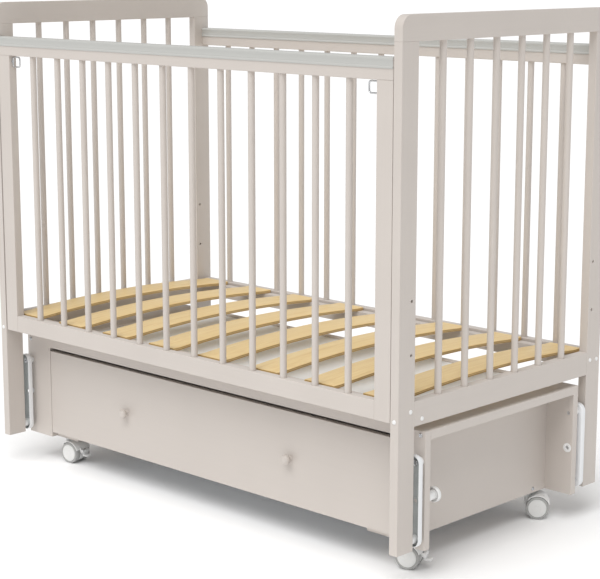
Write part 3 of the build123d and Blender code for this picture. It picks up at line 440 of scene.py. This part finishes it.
def barTree():
    tree, given = newTree("turnedBars", {"Radius": "Float", "Length": "Float", "Sides": "Int", "Seed": "Int",
                                         "Finish": "Material"})
    turns = {"Min": (0, 0, 0), "Max": (0, 0, barLook["mostTurn"]), "Seed": given["Seed"]}
    line = addNode(tree, "GeometryNodeCurvePrimitiveLine", inputs={"Start": (0, 0, 0)})
    tall = addNode(tree, "ShaderNodeCombineXYZ", inputs={"Z": given["Length"]})
    tree.links.new(tall.outputs[0], line.inputs["End"])
    rim = addNode(tree, "GeometryNodeCurvePrimitiveCircle", inputs={"Resolution": given["Sides"],
                                                                   "Radius": given["Radius"]})
    bar = addNode(tree, "GeometryNodeCurveToMesh", inputs={"Curve": line.outputs[0],
                                                           "Profile Curve": rim.outputs[0], "Fill Caps": True})
    turn = addNode(tree, "FunctionNodeRandomValue", {"data_type": "FLOAT_VECTOR"}, turns)
    bars = addNode(tree, "GeometryNodeInstanceOnPoints", inputs={"Points": given["Geometry"],
                                                                 "Instance": bar.outputs[0],
                                                                 "Rotation": turn.outputs[0]})
    endTree(tree, bars.outputs[0], given["Finish"])
    return tree


def makeBars():
    tree = barTree()
    for nodeName, body in (("front_bars", "front_side"), ("rear_bars", "crib"), ("end_bars", "crib")):
        boxes = solidsOf(nodeName)
        low, high = boxes[0]
        points = [((a.x + b.x) / 2, (a.y + b.y) / 2, a.z) for a, b in boxes]
        mesh = grow(nodeName, tree, points, {"Radius": (high.y - low.y) / 2, "Length": high.z - low.z,
                                             "Sides": barLook["sides"], "Seed": barLook["seed"],
                                             "Finish": paintedBeechZ})
        keepPiece(mesh, "turned_" + nodeName, body, "painted_beech", nodeName)


makeBars()
print("bars are made")

# teething covers, a plastic channel with a bead along each lower edge

coverLook = {"wall": 1.5 * mm, "waist": 1.1 * mm, "bead": 3.6 * mm, "ease": 0.3 * mm, "beadRound": 0.5 * mm,
             "fade": 0.8 * mm, "shoulder": 3 * mm, "cornerRound": 4 * mm, "cornerSteps": 6}


def makeCovers():
    for side, body in (("front", "front_side"), ("rear", "crib")):
        nodeName, railName = side + "_teething_cover", side + "_top_rail"
        low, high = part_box(nodeName)
        middle, half = (low.y + high.y) / 2, (high.y - low.y) / 2
        waist, corner = coverLook["waist"], coverLook["cornerRound"]
        ease, beadRound = coverLook["ease"], coverLook["beadRound"]
        railHalf, railTop = half - coverLook["wall"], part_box(railName)[1].z
        beadTop, cornerLow = low.z + coverLook["bead"], high.z - corner
        # half of the outer line from the bottom up to the top, as distance from the middle and height
        outer = [(half - ease, low.z), (half, low.z + beadRound), (half, beadTop - beadRound),
                 (half - ease, beadTop), (half - waist, beadTop + coverLook["fade"]),
                 (half - waist, cornerLow - coverLook["shoulder"]), (half, cornerLow - beadRound)]
        for step in range(coverLook["cornerSteps"] + 1):
            turn = math.radians(90 * step / coverLook["cornerSteps"])
            outer.append((half - corner + corner * math.cos(turn), cornerLow + corner * math.sin(turn)))
        loop = outer + [(-d, z) for d, z in reversed(outer)]
        loop += [(-railHalf, low.z), (-railHalf, railTop), (railHalf, railTop), (railHalf, low.z)]
        shape = bmesh.new()
        skin(shape, [[Vector((x, middle + d, z)) for d, z in loop] for x in (low.x, high.x)])
        keepPiece(meshFrom(shape, "extruded_" + nodeName, teethingPlastic), "extruded_" + nodeName, body,
                  "grey_plastic", nodeName, smoothAngle=28)


makeCovers()
print("teething covers are made")

# bowed slats

slatLook = {"edgeRound": 2.2 * mm, "edgeSteps": 4, "overRail": 2 * mm, "flatEnd": 20 * mm, "steps": 56,
            "seed": 3, "mostTone": 20.0}


def slatTree():
    tree, given = newTree("bentSlats", {"Wide": "Float", "Thick": "Float", "Half": "Float", "Turn": "Float",
                                        "Bow": "Float", "Round": "Float", "Steps": "Int", "Seed": "Int",
                                        "Finish": "Material"})
    halfBack = addNode(tree, "ShaderNodeMath", {"operation": "MULTIPLY"}, {0: given["Half"], 1: -1.0})
    start = addNode(tree, "ShaderNodeCombineXYZ", inputs={"Y": halfBack.outputs[0]})
    end = addNode(tree, "ShaderNodeCombineXYZ", inputs={"Y": given["Half"]})
    line = addNode(tree, "GeometryNodeCurvePrimitiveLine",
                   inputs={"Start": start.outputs[0], "End": end.outputs[0]})
    path = addNode(tree, "GeometryNodeResampleCurve",
                   inputs={"Curve": line.outputs[0], "Count": given["Steps"]})
    place = addNode(tree, "GeometryNodeInputPosition")
    along = addNode(tree, "ShaderNodeSeparateXYZ", inputs={0: place.outputs[0]})
    # the bow is a parabola that ends at the flat ends
    share = addNode(tree, "ShaderNodeMath", {"operation": "DIVIDE"}, {0: along.outputs["Y"], 1: given["Turn"]})
    square = addNode(tree, "ShaderNodeMath", {"operation": "MULTIPLY"},
                     {0: share.outputs[0], 1: share.outputs[0]})
    rise = addNode(tree, "ShaderNodeMath", {"operation": "SUBTRACT", "use_clamp": True},
                   {0: 1.0, 1: square.outputs[0]})
    lift = addNode(tree, "ShaderNodeMath", {"operation": "MULTIPLY"}, {0: rise.outputs[0], 1: given["Bow"]})
    offset = addNode(tree, "ShaderNodeCombineXYZ", inputs={"Z": lift.outputs[0]})
    bowed = addNode(tree, "GeometryNodeSetPosition",
                    inputs={"Geometry": path.outputs[0], "Offset": offset.outputs[0]})
    level = addNode(tree, "GeometryNodeSetCurveNormal", {"mode": "Z_UP"}, {"Curve": bowed.outputs[0]})
    section = addNode(tree, "GeometryNodeCurvePrimitiveQuadrilateral", inputs={"Width": given["Wide"],
                                                                              "Height": given["Thick"]})
    rounded = addNode(tree, "GeometryNodeFilletCurve", {"mode": "POLY"},
                      {"Curve": section.outputs[0], "Radius": given["Round"], "Limit Radius": True,
                       "Count": slatLook["edgeSteps"]})
    spot = addNode(tree, "ShaderNodeSeparateXYZ", inputs={0: place.outputs[0]})
    through = addNode(tree, "ShaderNodeMath", {"operation": "DIVIDE"},
                      {0: spot.outputs["Y"], 1: given["Thick"]})
    marked = addNode(tree, "GeometryNodeStoreNamedAttribute", {"data_type": "FLOAT", "domain": "POINT"},
                     {"Geometry": rounded.outputs[0], "Name": "slatThrough", "Value": through.outputs[0]})
    slat = addNode(tree, "GeometryNodeCurveToMesh",
                   inputs={"Curve": level.outputs[0], "Profile Curve": marked.outputs[0], "Fill Caps": True})
    slats = addNode(tree, "GeometryNodeInstanceOnPoints", inputs={"Points": given["Geometry"],
                                                                  "Instance": slat.outputs[0]})
    # input 3 and output 1 are the float ones
    chance = addNode(tree, "FunctionNodeRandomValue", {"data_type": "FLOAT"},
                     {3: slatLook["mostTone"], "Seed": given["Seed"]})
    toned = addNode(tree, "GeometryNodeStoreNamedAttribute", {"data_type": "FLOAT", "domain": "INSTANCE"},
                    {"Geometry": slats.outputs[0], "Name": "slatTone", "Value": chance.outputs[1]})
    endTree(tree, toned.outputs[0], given["Finish"])
    return tree


def makeSlats():
    boxes = solidsOf("slats")
    low, high = boxes[0]
    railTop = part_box("base_rails")[1].z
    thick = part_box("front_bottom_rail")[1].z + slatLook["overRail"] - railTop
    bow = high.z - low.z - thick
    points = [((a.x + b.x) / 2, 0, railTop + thick / 2) for a, b in boxes]
    mesh = grow("slats", slatTree(), points, {
        "Wide": high.x - low.x, "Thick": thick, "Half": high.y, "Turn": high.y - slatLook["flatEnd"],
        "Bow": bow, "Round": slatLook["edgeRound"], "Steps": slatLook["steps"], "Seed": slatLook["seed"],
        "Finish": birchLaminate})
    keepPiece(mesh, "bent_slats", "crib", "birch_ply", "slats")


makeSlats()
print("slats are made")

# bolt caps, screw heads and pivot bolts

headLook = {"crossLong": 3.1 * mm, "crossWide": 0.75 * mm, "crossDeep": 1.2 * mm, "hexAcross": 2.5 * mm,
            "hexDeep": 2.2 * mm, "capThick": 1.6 * mm, "capShank": 2 * mm, "crossThick": 1.8 * mm,
            "crossShank": 2.5 * mm, "boltThick": 4 * mm, "boltShank": 4 * mm}


def crossOutline(angle):
    # a cross recess, as the distance from its middle
    c, s = max(abs(math.cos(angle)), 1e-6), max(abs(math.sin(angle)), 1e-6)
    long, wide = headLook["crossLong"], headLook["crossWide"]
    return max(min(long / c, wide / s), min(long / s, wide / c))


def hexOutline(angle):
    # a six-sided socket, as the distance from its middle
    sector = math.radians(60)
    return headLook["hexAcross"] / math.cos((angle + sector / 2) % sector - sector / 2)


def screwHead(name, radius, thick, outline=None, depth=0.0):
    # a turned head that stands on its seat, with a recess where it has one
    shape = bmesh.new()
    loops = [ring(radius, 0), ring(radius, thick * 0.35), ring(radius * 0.96, thick * 0.62),
             ring(radius * 0.86, thick * 0.85), ring(radius * 0.7, thick * 0.97)]
    if outline:
        loops += [ring(0, thick, outline=outline),
                  ring(0, thick - depth, outline=lambda angle: outline(angle) * 0.8)]
    else:
        loops += [ring(radius * 0.35, thick), ring(radius * 0.05, thick)]
    skin(shape, loops)
    mesh = meshFrom(shape, name)
    mesh.shade_smooth()
    mesh.set_sharp_from_angle(angle=math.radians(40))
    head = bpy.data.objects.new(name, mesh)
    bpy.context.scene.collection.objects.link(head)
    return head


def screwTree():
    tree, given = newTree("screwSet", {"Head": "Object", "Shank": "Float", "Finish": "Material"})
    toward = addNode(tree, "GeometryNodeInputNamedAttribute", {"data_type": "FLOAT_VECTOR"},
                     {"Name": "facing"})
    reach = addNode(tree, "GeometryNodeInputNamedAttribute", {"data_type": "FLOAT"}, {"Name": "reach"})
    turn = addNode(tree, "FunctionNodeAlignRotationToVector", {"axis": "Z"}, {"Vector": toward.outputs[0]})
    head = addNode(tree, "GeometryNodeObjectInfo", inputs={"Object": given["Head"]})
    heads = addNode(tree, "GeometryNodeInstanceOnPoints", inputs={"Points": given["Geometry"],
                                                                  "Instance": head.outputs["Geometry"],
                                                                  "Rotation": turn.outputs[0]})
    line = addNode(tree, "GeometryNodeCurvePrimitiveLine", inputs={"Start": (0, 0, -1), "End": (0, 0, 0)})
    rim = addNode(tree, "GeometryNodeCurvePrimitiveCircle",
                  inputs={"Resolution": 20, "Radius": given["Shank"]})
    shank = addNode(tree, "GeometryNodeCurveToMesh",
                    inputs={"Curve": line.outputs[0], "Profile Curve": rim.outputs[0], "Fill Caps": True})
    stretch = addNode(tree, "ShaderNodeCombineXYZ", inputs={"X": 1.0, "Y": 1.0, "Z": reach.outputs[0]})
    shanks = addNode(tree, "GeometryNodeInstanceOnPoints", inputs={"Points": given["Geometry"],
                                                                   "Instance": shank.outputs[0],
                                                                   "Rotation": turn.outputs[0],
                                                                   "Scale": stretch.outputs[0]})
    both = addNode(tree, "GeometryNodeJoinGeometry", inputs={"Geometry": heads.outputs[0]})
    tree.links.new(shanks.outputs[0], both.inputs["Geometry"])
    endTree(tree, both.outputs[0], given["Finish"])
    return tree


def makeScrews(nodeName, body, recordSlot, material, tree, headThick, shankRadius, outline=None, depth=0.0,
               inward=False):
    # each screw's head is at the end of its solid that is further from the crib's middle,
    # or at the nearer end if inward
    points, facing, reach = [], [], []
    for low, high in solidsOf(nodeName):
        spans = high - low
        axis = max(range(3), key=lambda i: spans[i])
        outward = 1 if low[axis] + high[axis] > 0 else -1
        if inward:
            outward = -outward
        seat = (low + high) / 2
        seat[axis] = (high[axis] - headThick) if outward > 0 else (low[axis] + headThick)
        direction = [0.0, 0.0, 0.0]
        direction[axis] = float(outward)
        points.append(tuple(seat))
        facing.append(direction)
        reach.append(spans[axis] - headThick)
        radius = min(spans[i] for i in range(3) if i != axis) / 2
    head = screwHead(nodeName + "Head", radius, headThick, outline, depth)
    mesh = grow(nodeName, tree, points, {"Head": head, "Shank": shankRadius, "Finish": material}, facing,
                reach)
    bpy.data.objects.remove(head)
    keepPiece(mesh, "turned_" + nodeName, body, recordSlot, nodeName)


screws = screwTree()
makeScrews("cap_screws", "crib", "white_enamel", whiteNylon, screws, headLook["capThick"],
           headLook["capShank"])
makeScrews("box_screws", "box", "zinc_steel", zincSteel, screws, headLook["crossThick"],
           headLook["crossShank"], crossOutline, headLook["crossDeep"])
for boltName, body, inward in (("upper_pivot_bolts", "box", False), ("lower_pivot_bolts", "crib", True)):
    makeScrews(boltName, body, "zinc_steel", zincSteel, screws, headLook["boltThick"], headLook["boltShank"],
               hexOutline, headLook["hexDeep"], inward)
print("screws and bolts are made")

# drawer knobs, turned

knobLook = {"segments": 64}


def makeKnobs():
    shape = bmesh.new()
    for low, high in solidsOf("drawer_knobs"):
        radius, length = (high.x - low.x) / 2, high.y - low.y
        place = standAt(((low.x + high.x) / 2, high.y, (low.z + high.z) / 2), (0, -1, 0))
        # radius and distance from the drawer front, as shares of the knob's own
        outline = [(0.6, 0.0), (0.6, 0.03), (0.52, 0.07), (0.49, 0.16), (0.5, 0.27), (0.57, 0.36),
                   (0.72, 0.43), (0.9, 0.49), (0.98, 0.55), (1.0, 0.62), (0.99, 0.7), (0.95, 0.78),
                   (0.87, 0.86), (0.74, 0.93), (0.56, 0.975), (0.3, 0.996), (0.04, 1.0)]
        skin(shape, [ring(radius * r, length * h, knobLook["segments"]) for r, h in outline], place)
    keepPiece(meshFrom(shape, "turned_knobs", paintedBeechY), "turned_knobs", "drawer", "painted_beech",
              "drawer_knobs", smoothAngle=60)


makeKnobs()

# swing lock knobs with a recess round the sleeve

lockLook = {"pinRadius": 4 * mm, "knobThick": 9 * mm, "recessInner": 10.6 * mm, "recessOuter": 13.2 * mm,
            "recessDeep": 3.0 * mm, "segments": 64}


def makeLockBolts():
    for side in ("left", "right"):
        nodeName = "lock_bolt_" + side
        low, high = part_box(nodeName)
        knobRadius, middleX, middleZ = (high.x - low.x) / 2, (low.x + high.x) / 2, (low.z + high.z) / 2
        knobThick, pinRadius = lockLook["knobThick"], lockLook["pinRadius"]
        front = high.y - knobThick
        place = standAt((middleX, front, middleZ), (0, 1, 0))
        inner, outer, deep = lockLook["recessInner"], lockLook["recessOuter"], lockLook["recessDeep"]
        # radius, and distance from the knob's near face: the pin, the recess, the rim and the far face
        outline = [(pinRadius, low.y - front), (pinRadius, 0), (inner, 0), (inner, deep), (outer, deep),
                   (outer, 0.3 * mm), (outer + 0.6 * mm, 0), (knobRadius - 1.2 * mm, 0),
                   (knobRadius, 1.2 * mm), (knobRadius, knobThick - 2.6 * mm),
                   (knobRadius - 0.8 * mm, knobThick - 1.0 * mm),
                   (knobRadius - 2.4 * mm, knobThick - 0.2 * mm),
                   (knobRadius * 0.6, knobThick), (knobRadius * 0.05, knobThick - 0.6 * mm)]
        shape = bmesh.new()
        skin(shape, [ring(r, h, lockLook["segments"]) for r, h in outline], place)
        keepPiece(meshFrom(shape, "moulded_" + nodeName, whiteNylon), "moulded_" + nodeName, "lock_" + side,
                  "white_plastic", nodeName)


makeLockBolts()

# release loops, a bent ring on a bolt

loopLook = {"tube": 1.8 * mm, "wide": 28.5 * mm, "corner": 7 * mm, "cornerSteps": 8, "tubeSides": 14,
            "boltHeight": 962 * mm, "boltSides": 24, "boltPoint": 1 * mm}


def makeReleaseLoops():
    for side, sign in (("left", -1), ("right", 1)):
        nodeName = "release_latch_" + side
        low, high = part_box(nodeName)
        tube, corner = loopLook["tube"], loopLook["corner"] - loopLook["tube"]
        wide = loopLook["wide"] - 2 * tube
        y = (low.y + high.y) / 2
        nearX = low.x if sign > 0 else high.x
        left = nearX + sign * tube
        right = left + sign * wide
        bottom, top = low.z + tube, high.z - tube
        # the four corners and the angle at which each one's bend starts
        centres = [((right, top), 0), ((left, top), 90), ((left, bottom), 180), ((right, bottom), 270)]
        path = []
        for (x, z), angle in centres:
            inwardX = -sign if x == right else sign
            inwardZ = -1 if z == top else 1
            for step in range(loopLook["cornerSteps"] + 1):
                turn = math.radians(angle + step * 90 / loopLook["cornerSteps"])
                path.append(Vector((x + inwardX * corner + sign * corner * math.cos(turn), y,
                                    z + inwardZ * corner + corner * math.sin(turn))))
        shape = bmesh.new()
        rows = []
        count = len(path)
        for i, point in enumerate(path):
            ahead = (path[(i + 1) % count] - path[i - 1]).normalized()
            across = ahead.cross(Vector((0, 1, 0))).normalized()
            row = []
            for j in range(loopLook["tubeSides"]):
                turn = 2 * math.pi * j / loopLook["tubeSides"]
                row.append(shape.verts.new(point + across * tube * math.cos(turn)
                                           + Vector((0, tube * math.sin(turn), 0))))
            rows.append(row)
        for i in range(count):
            near, far = rows[i], rows[(i + 1) % count]
            for j in range(len(near)):
                k = (j + 1) % len(near)
                shape.faces.new((near[j], near[k], far[k], far[j]))
        boltRadius = (high.y - low.y) / 2
        place = standAt((right, y, loopLook["boltHeight"]), (sign, 0, 0))
        length = abs((high.x if sign > 0 else low.x) - right)
        outline = [(0.3, 0), (1, 0), (1, length - loopLook["boltPoint"]), (0.75, length), (0.1, length)]
        skin(shape, [ring(boltRadius * r, h, loopLook["boltSides"]) for r, h in outline], place)
        keepPiece(meshFrom(shape, "bent_" + nodeName, zincSteel), "bent_" + nodeName, "latch_" + side,
                  "zinc_steel", nodeName, smoothAngle=50)


makeReleaseLoops()
print("knobs, locks and release loops are made")

# castor wheels: a pale disc in a grey tread, two to a castor

wheelLook = {"segments": 72, "firstTreadRow": 5, "lastTreadRow": 13}
softEdge = {"castor": 0.6 * mm, "pedal": 0.8 * mm, "bush": 0.5 * mm}


def wheelFinish(row):
    # 1 is the tread and 0 the disc
    return 1 if wheelLook["firstTreadRow"] <= row <= wheelLook["lastTreadRow"] else 0


def makeWheels():
    joints = {joint["name"]: joint for joint in frame["joints"]}
    for corner in corners:
        nodeName = "castor_wheels_" + corner
        joint = joints["wheel_roll_" + corner]
        axis, centre = Vector(joint["axis"]).normalized(), Vector(joint["pos_m"])
        # radius and place along the axle in millimetres: near face, tread, rim groove and the disc's far face
        outline = [(3.1, 8), (9, 8), (9.4, 8.5), (17, 8.5), (17.6, 8), (22.2, 8), (24.2, 8.7), (25, 10.2),
                   (25, 21.8), (24.3, 23.3), (22.4, 24), (20.9, 24), (20.7, 23.3), (20.2, 22.9), (19.9, 22.9),
                   (19.6, 23.3), (19.3, 23.75), (18.4, 23.9), (12, 24), (7, 24), (6.7, 23.5), (6.1, 23.5),
                   (5.8, 23.9), (3, 24), (0.4, 24)]
        shape = bmesh.new()
        for sign in (-1, 1):
            place = standAt(centre, axis * sign)
            loops = [ring(r * mm, h * mm, wheelLook["segments"]) for r, h in outline]
            skin(shape, loops, place, wheelFinish)
        keepPiece(meshFrom(shape, "moulded_" + nodeName, castorNylon, greyTread), "moulded_" + nodeName,
                  "wheels_" + corner, "castor_plastic", nodeName)


makeWheels()
for corner in corners:
    softened("castor_body_" + corner, "moulded_castor_body_" + corner, "castor_" + corner, "castor_plastic",
             whiteNylon, softEdge["castor"])
for side in ("left", "right"):
    softened("brake_pedal_front_" + side, "moulded_brake_pedal_" + side, "pedal_front_" + side,
             "pedal_plastic", whiteNylon, softEdge["pedal"])
for nodeName in ("lock_bushes", "upper_pivot_bushes"):
    softened(nodeName, "moulded_" + nodeName, "box", "white_plastic", whiteNylon, softEdge["bush"])
softened("lower_pivot_bushes", "moulded_lower_pivot_bushes", "crib", "white_plastic", whiteNylon,
         softEdge["bush"])
print("castors and bushes are made")

# swing links, pressed from sheet: a channel with rolled lips, raised rings and slanted pads

linkLook = {"web": 2.0 * mm, "wall": 1.8 * mm, "outerRound": 1.8 * mm, "emboss": 0.8 * mm,
            "ringRadius": 9 * mm, "ringRound": 0.8 * mm, "ringTurn": 0.3 * mm, "ringSides": 32,
            "arcSteps": 20, "lip": 0.7 * mm, "lipTurn": 0.2 * mm, "innerLip": 0.6 * mm, "fold": 1.2 * mm,
            "foldTurn": 0.35 * mm, "paintedShadeRows": 3, "snugHole": 4.08 * mm, "looseHole": 4.3 * mm,
            "middleHole": 0.22 * mm, "padPlace": 0.27, "padHalf": 5.5 * mm, "padLong": 17 * mm,
            "padSlant": 7 * mm, "padRound": 2.2 * mm, "padSteps": 4, "padBevel": 0.5 * mm}


def stadium(half, length, inset, height):
    # a slot outline in the local XY plane, long in Y, as a loop of points
    steps, reach = linkLook["arcSteps"], half - inset
    loop = []
    for centre, start in ((length / 2, 0), (-length / 2, 180)):
        for i in range(steps + 1):
            turn = math.radians(start + 180 * i / steps)
            loop.append(Vector((reach * math.cos(turn), centre + reach * math.sin(turn), height)))
    return loop


def slantedPad(middle, inset, height):
    # a pad with slanted ends and round corners
    halfWide, halfLong = linkLook["padHalf"] - inset, linkLook["padLong"] - inset
    slant, radius, steps = linkLook["padSlant"], linkLook["padRound"], linkLook["padSteps"]
    cornersOf = [(halfWide, -halfLong + slant), (halfWide, halfLong), (-halfWide, halfLong - slant),
                 (-halfWide, -halfLong)]
    loop = []
    for i, point in enumerate(cornersOf):
        before, after = Vector(cornersOf[i - 1]), Vector(cornersOf[(i + 1) % 4])
        here = Vector(point)
        start = here + (before - here).normalized() * radius
        end = here + (after - here).normalized() * radius
        for step in range(steps + 1):
            t = step / steps
            spot = start * (1 - t) ** 2 + here * 2 * t * (1 - t) + end * t * t
            loop.append(Vector((spot.x, middle + spot.y, height)))
    return loop


def linkMesh(nodeName, face, boltRadius, lowerRadius):
    # finish 0 is the white of the outside and the lips, 1 a grey painted shade on the channel's floor, inner
    # walls, raised rings and pads
    low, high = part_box(nodeName)
    half, depth = (high.x - low.x) / 2, high.y - low.y
    length = high.z - low.z - 2 * half
    web, wall, soft, emboss = (linkLook[key] for key in ("web", "wall", "outerRound", "emboss"))
    lip, lipTurn, innerLip = linkLook["lip"], linkLook["lipTurn"], linkLook["innerLip"]
    fold, foldTurn, bevel = linkLook["fold"], linkLook["foldTurn"], linkLook["padBevel"]
    foot, ringTurn = linkLook["ringRadius"], linkLook["ringTurn"]
    webY = low.y if face > 0 else high.y
    # local X is along the crib, local Y is up, local Z runs from the web to the open side
    place = Matrix(((-face, 0, 0, (low.x + high.x) / 2), (0, 0, face, webY),
                    (0, 1, 0, (low.z + high.z) / 2), (0, 0, 0, 1)))
    shape = bmesh.new()

    def row(loop):
        return [shape.verts.new(place @ point) for point in loop]

    def bridge(near, far, finish=0):
        for i in range(len(near)):
            j = (i + 1) % len(near)
            shape.faces.new((near[i], near[j], far[j], far[i])).material_index = finish

    def fill(finish, *rows):
        edges = []
        for points in rows:
            for i in range(len(points)):
                pair = (points[i], points[(i + 1) % len(points)])
                edges.append(shape.edges.get(pair) or shape.edges.new(pair))
        made = bmesh.ops.triangle_fill(shape, use_beauty=True, use_dissolve=False, edges=edges)
        for face in made["geom"]:
            if isinstance(face, bmesh.types.BMFace):
                face.material_index = finish

    def hole(radius, middle, height):
        return row([point + Vector((0, middle, 0)) for point in ring(radius, height, linkLook["ringSides"])])

    # inset from the edge and height, from the back over the lip and down into the channel
    section = [(soft, 0), (soft * 0.5, soft * 0.13), (soft * 0.13, soft * 0.5), (0, soft), (0, depth - lip),
               (lipTurn, depth - lipTurn), (lip, depth), (wall - innerLip, depth), (wall, depth - innerLip),
               (wall, web + fold), (wall + foldTurn, web + foldTurn), (wall + fold, web)]
    rows = [row(stadium(half, length, inset, height)) for inset, height in section]
    # the last rows, down the inner walls to the channel's floor, take the painted shade
    firstPaintedShade = len(rows) - 1 - linkLook["paintedShadeRows"]
    for number, (near, far) in enumerate(zip(rows, rows[1:])):
        bridge(near, far, 1 if number >= firstPaintedShade else 0)
    # the middle hole is wider than the bolt's by a little
    radii = {length / 2: boltRadius, 0.0: boltRadius + linkLook["middleHole"], -length / 2: lowerRadius}
    backHoles, floorHoles = [], []
    for middle, radius in radii.items():
        back = hole(radius, middle, 0)
        rise = [hole(radius, middle, web + emboss), hole(foot - linkLook["ringRound"], middle, web + emboss),
                hole(foot - ringTurn, middle, web + emboss * 0.7), hole(foot, middle, web)]
        for near, far in zip([back] + rise, rise):
            bridge(near, far, 1)
        backHoles.append(back)
        floorHoles.append(rise[-1])
    for middle in (-length * linkLook["padPlace"], length * linkLook["padPlace"]):
        padFoot = row(slantedPad(middle, 0, web))
        shoulder = row(slantedPad(middle, bevel, web + emboss * 0.8))
        top = row(slantedPad(middle, 2 * bevel, web + emboss))
        bridge(padFoot, shoulder, 1)
        bridge(shoulder, top, 1)
        fill(1, top)
        floorHoles.append(padFoot)
    fill(0, rows[0], *backHoles)
    fill(1, rows[-1], *floorHoles)
    return meshFrom(shape, "pressed_" + nodeName, whiteEnamel, paintedShadeEnamel)


def makeLinks():
    for corner in corners:
        nodeName = "swing_link_" + corner
        face = -1 if corner.startswith("front") else 1
        lowerRadius = linkLook["snugHole"] if corner == "front_right" else linkLook["looseHole"]
        mesh = linkMesh(nodeName, face, linkLook["snugHole"], lowerRadius)
        keepPiece(mesh, "pressed_" + nodeName, "link_" + corner, "white_enamel", nodeName, smoothAngle=35)


makeLinks()
print("swing links are made")

# stage, lights and camera

# metres and degrees; the turn is from the front towards the right end
studio = {"floorColour": "#FFFFFF", "floorRadius": 120.0, "world": "#FFFFFF", "worldStrength": 0.48,
          "sunStrength": 2.3, "sunTurn": 15.0, "sunHeight": 60.0, "sunSpread": 50.0}


def makeFloor():
    shape = bmesh.new()
    bmesh.ops.create_circle(shape, cap_ends=True, segments=64, radius=studio["floorRadius"])
    material, tree, shader, where = newMaterial("mattWhiteFloor", {"Roughness": 0.9, "IOR": 1.4})
    speck = noiseNode(tree, where, 1 / (10 * mm), 2.0)
    bump = bumpNode(tree, speck.outputs[0], 0.02, 0.3 * mm)
    tree.links.new(bump.outputs[0], shader.inputs["Normal"])
    shader.inputs["Base Color"].default_value = hexColour(studio["floorColour"])
    floor = bpy.data.objects.new("floor", meshFrom(shape, "floor", material))
    bpy.context.scene.collection.objects.link(floor)


def addSun():
    # a wide soft sun high in front and a little to the right, as a large studio lamp far away gives
    lamp = bpy.data.lights.new("keySun", "SUN")
    lamp.energy = studio["sunStrength"]
    lamp.angle = math.radians(studio["sunSpread"])
    lampObject = bpy.data.objects.new("keySun", lamp)
    lampObject.rotation_euler = (math.radians(90 - studio["sunHeight"]), 0,
                                 math.radians(studio["sunTurn"]))
    bpy.context.scene.collection.objects.link(lampObject)


makeFloor()
addSun()
world = bpy.data.worlds.new("studio")
world.use_nodes = True
background = world.node_tree.nodes["Background"]
background.inputs["Color"].default_value = hexColour(studio["world"])
background.inputs["Strength"].default_value = studio["worldStrength"]
bpy.context.scene.world = world
bpy.context.scene.view_settings.view_transform = "Standard"

# the photograph's angle: metres, degrees and the lens in millimetres on a sensor 36 mm wide
shot = {"place": (2.64095, -2.69375, 1.19696), "turn": 43.936, "down": 11.036, "lens": 102.35, "sensor": 36.0}
camera = bpy.data.objects.new("camera", bpy.data.cameras.new("camera"))
camera.data.sensor_width = shot["sensor"]
camera.data.lens = shot["lens"]
camera.location = shot["place"]
camera.rotation_euler = (math.radians(90 - shot["down"]), 0, math.radians(shot["turn"]))
bpy.context.scene.collection.objects.link(camera)
bpy.context.scene.camera = camera
print("stage, lights and camera are set")
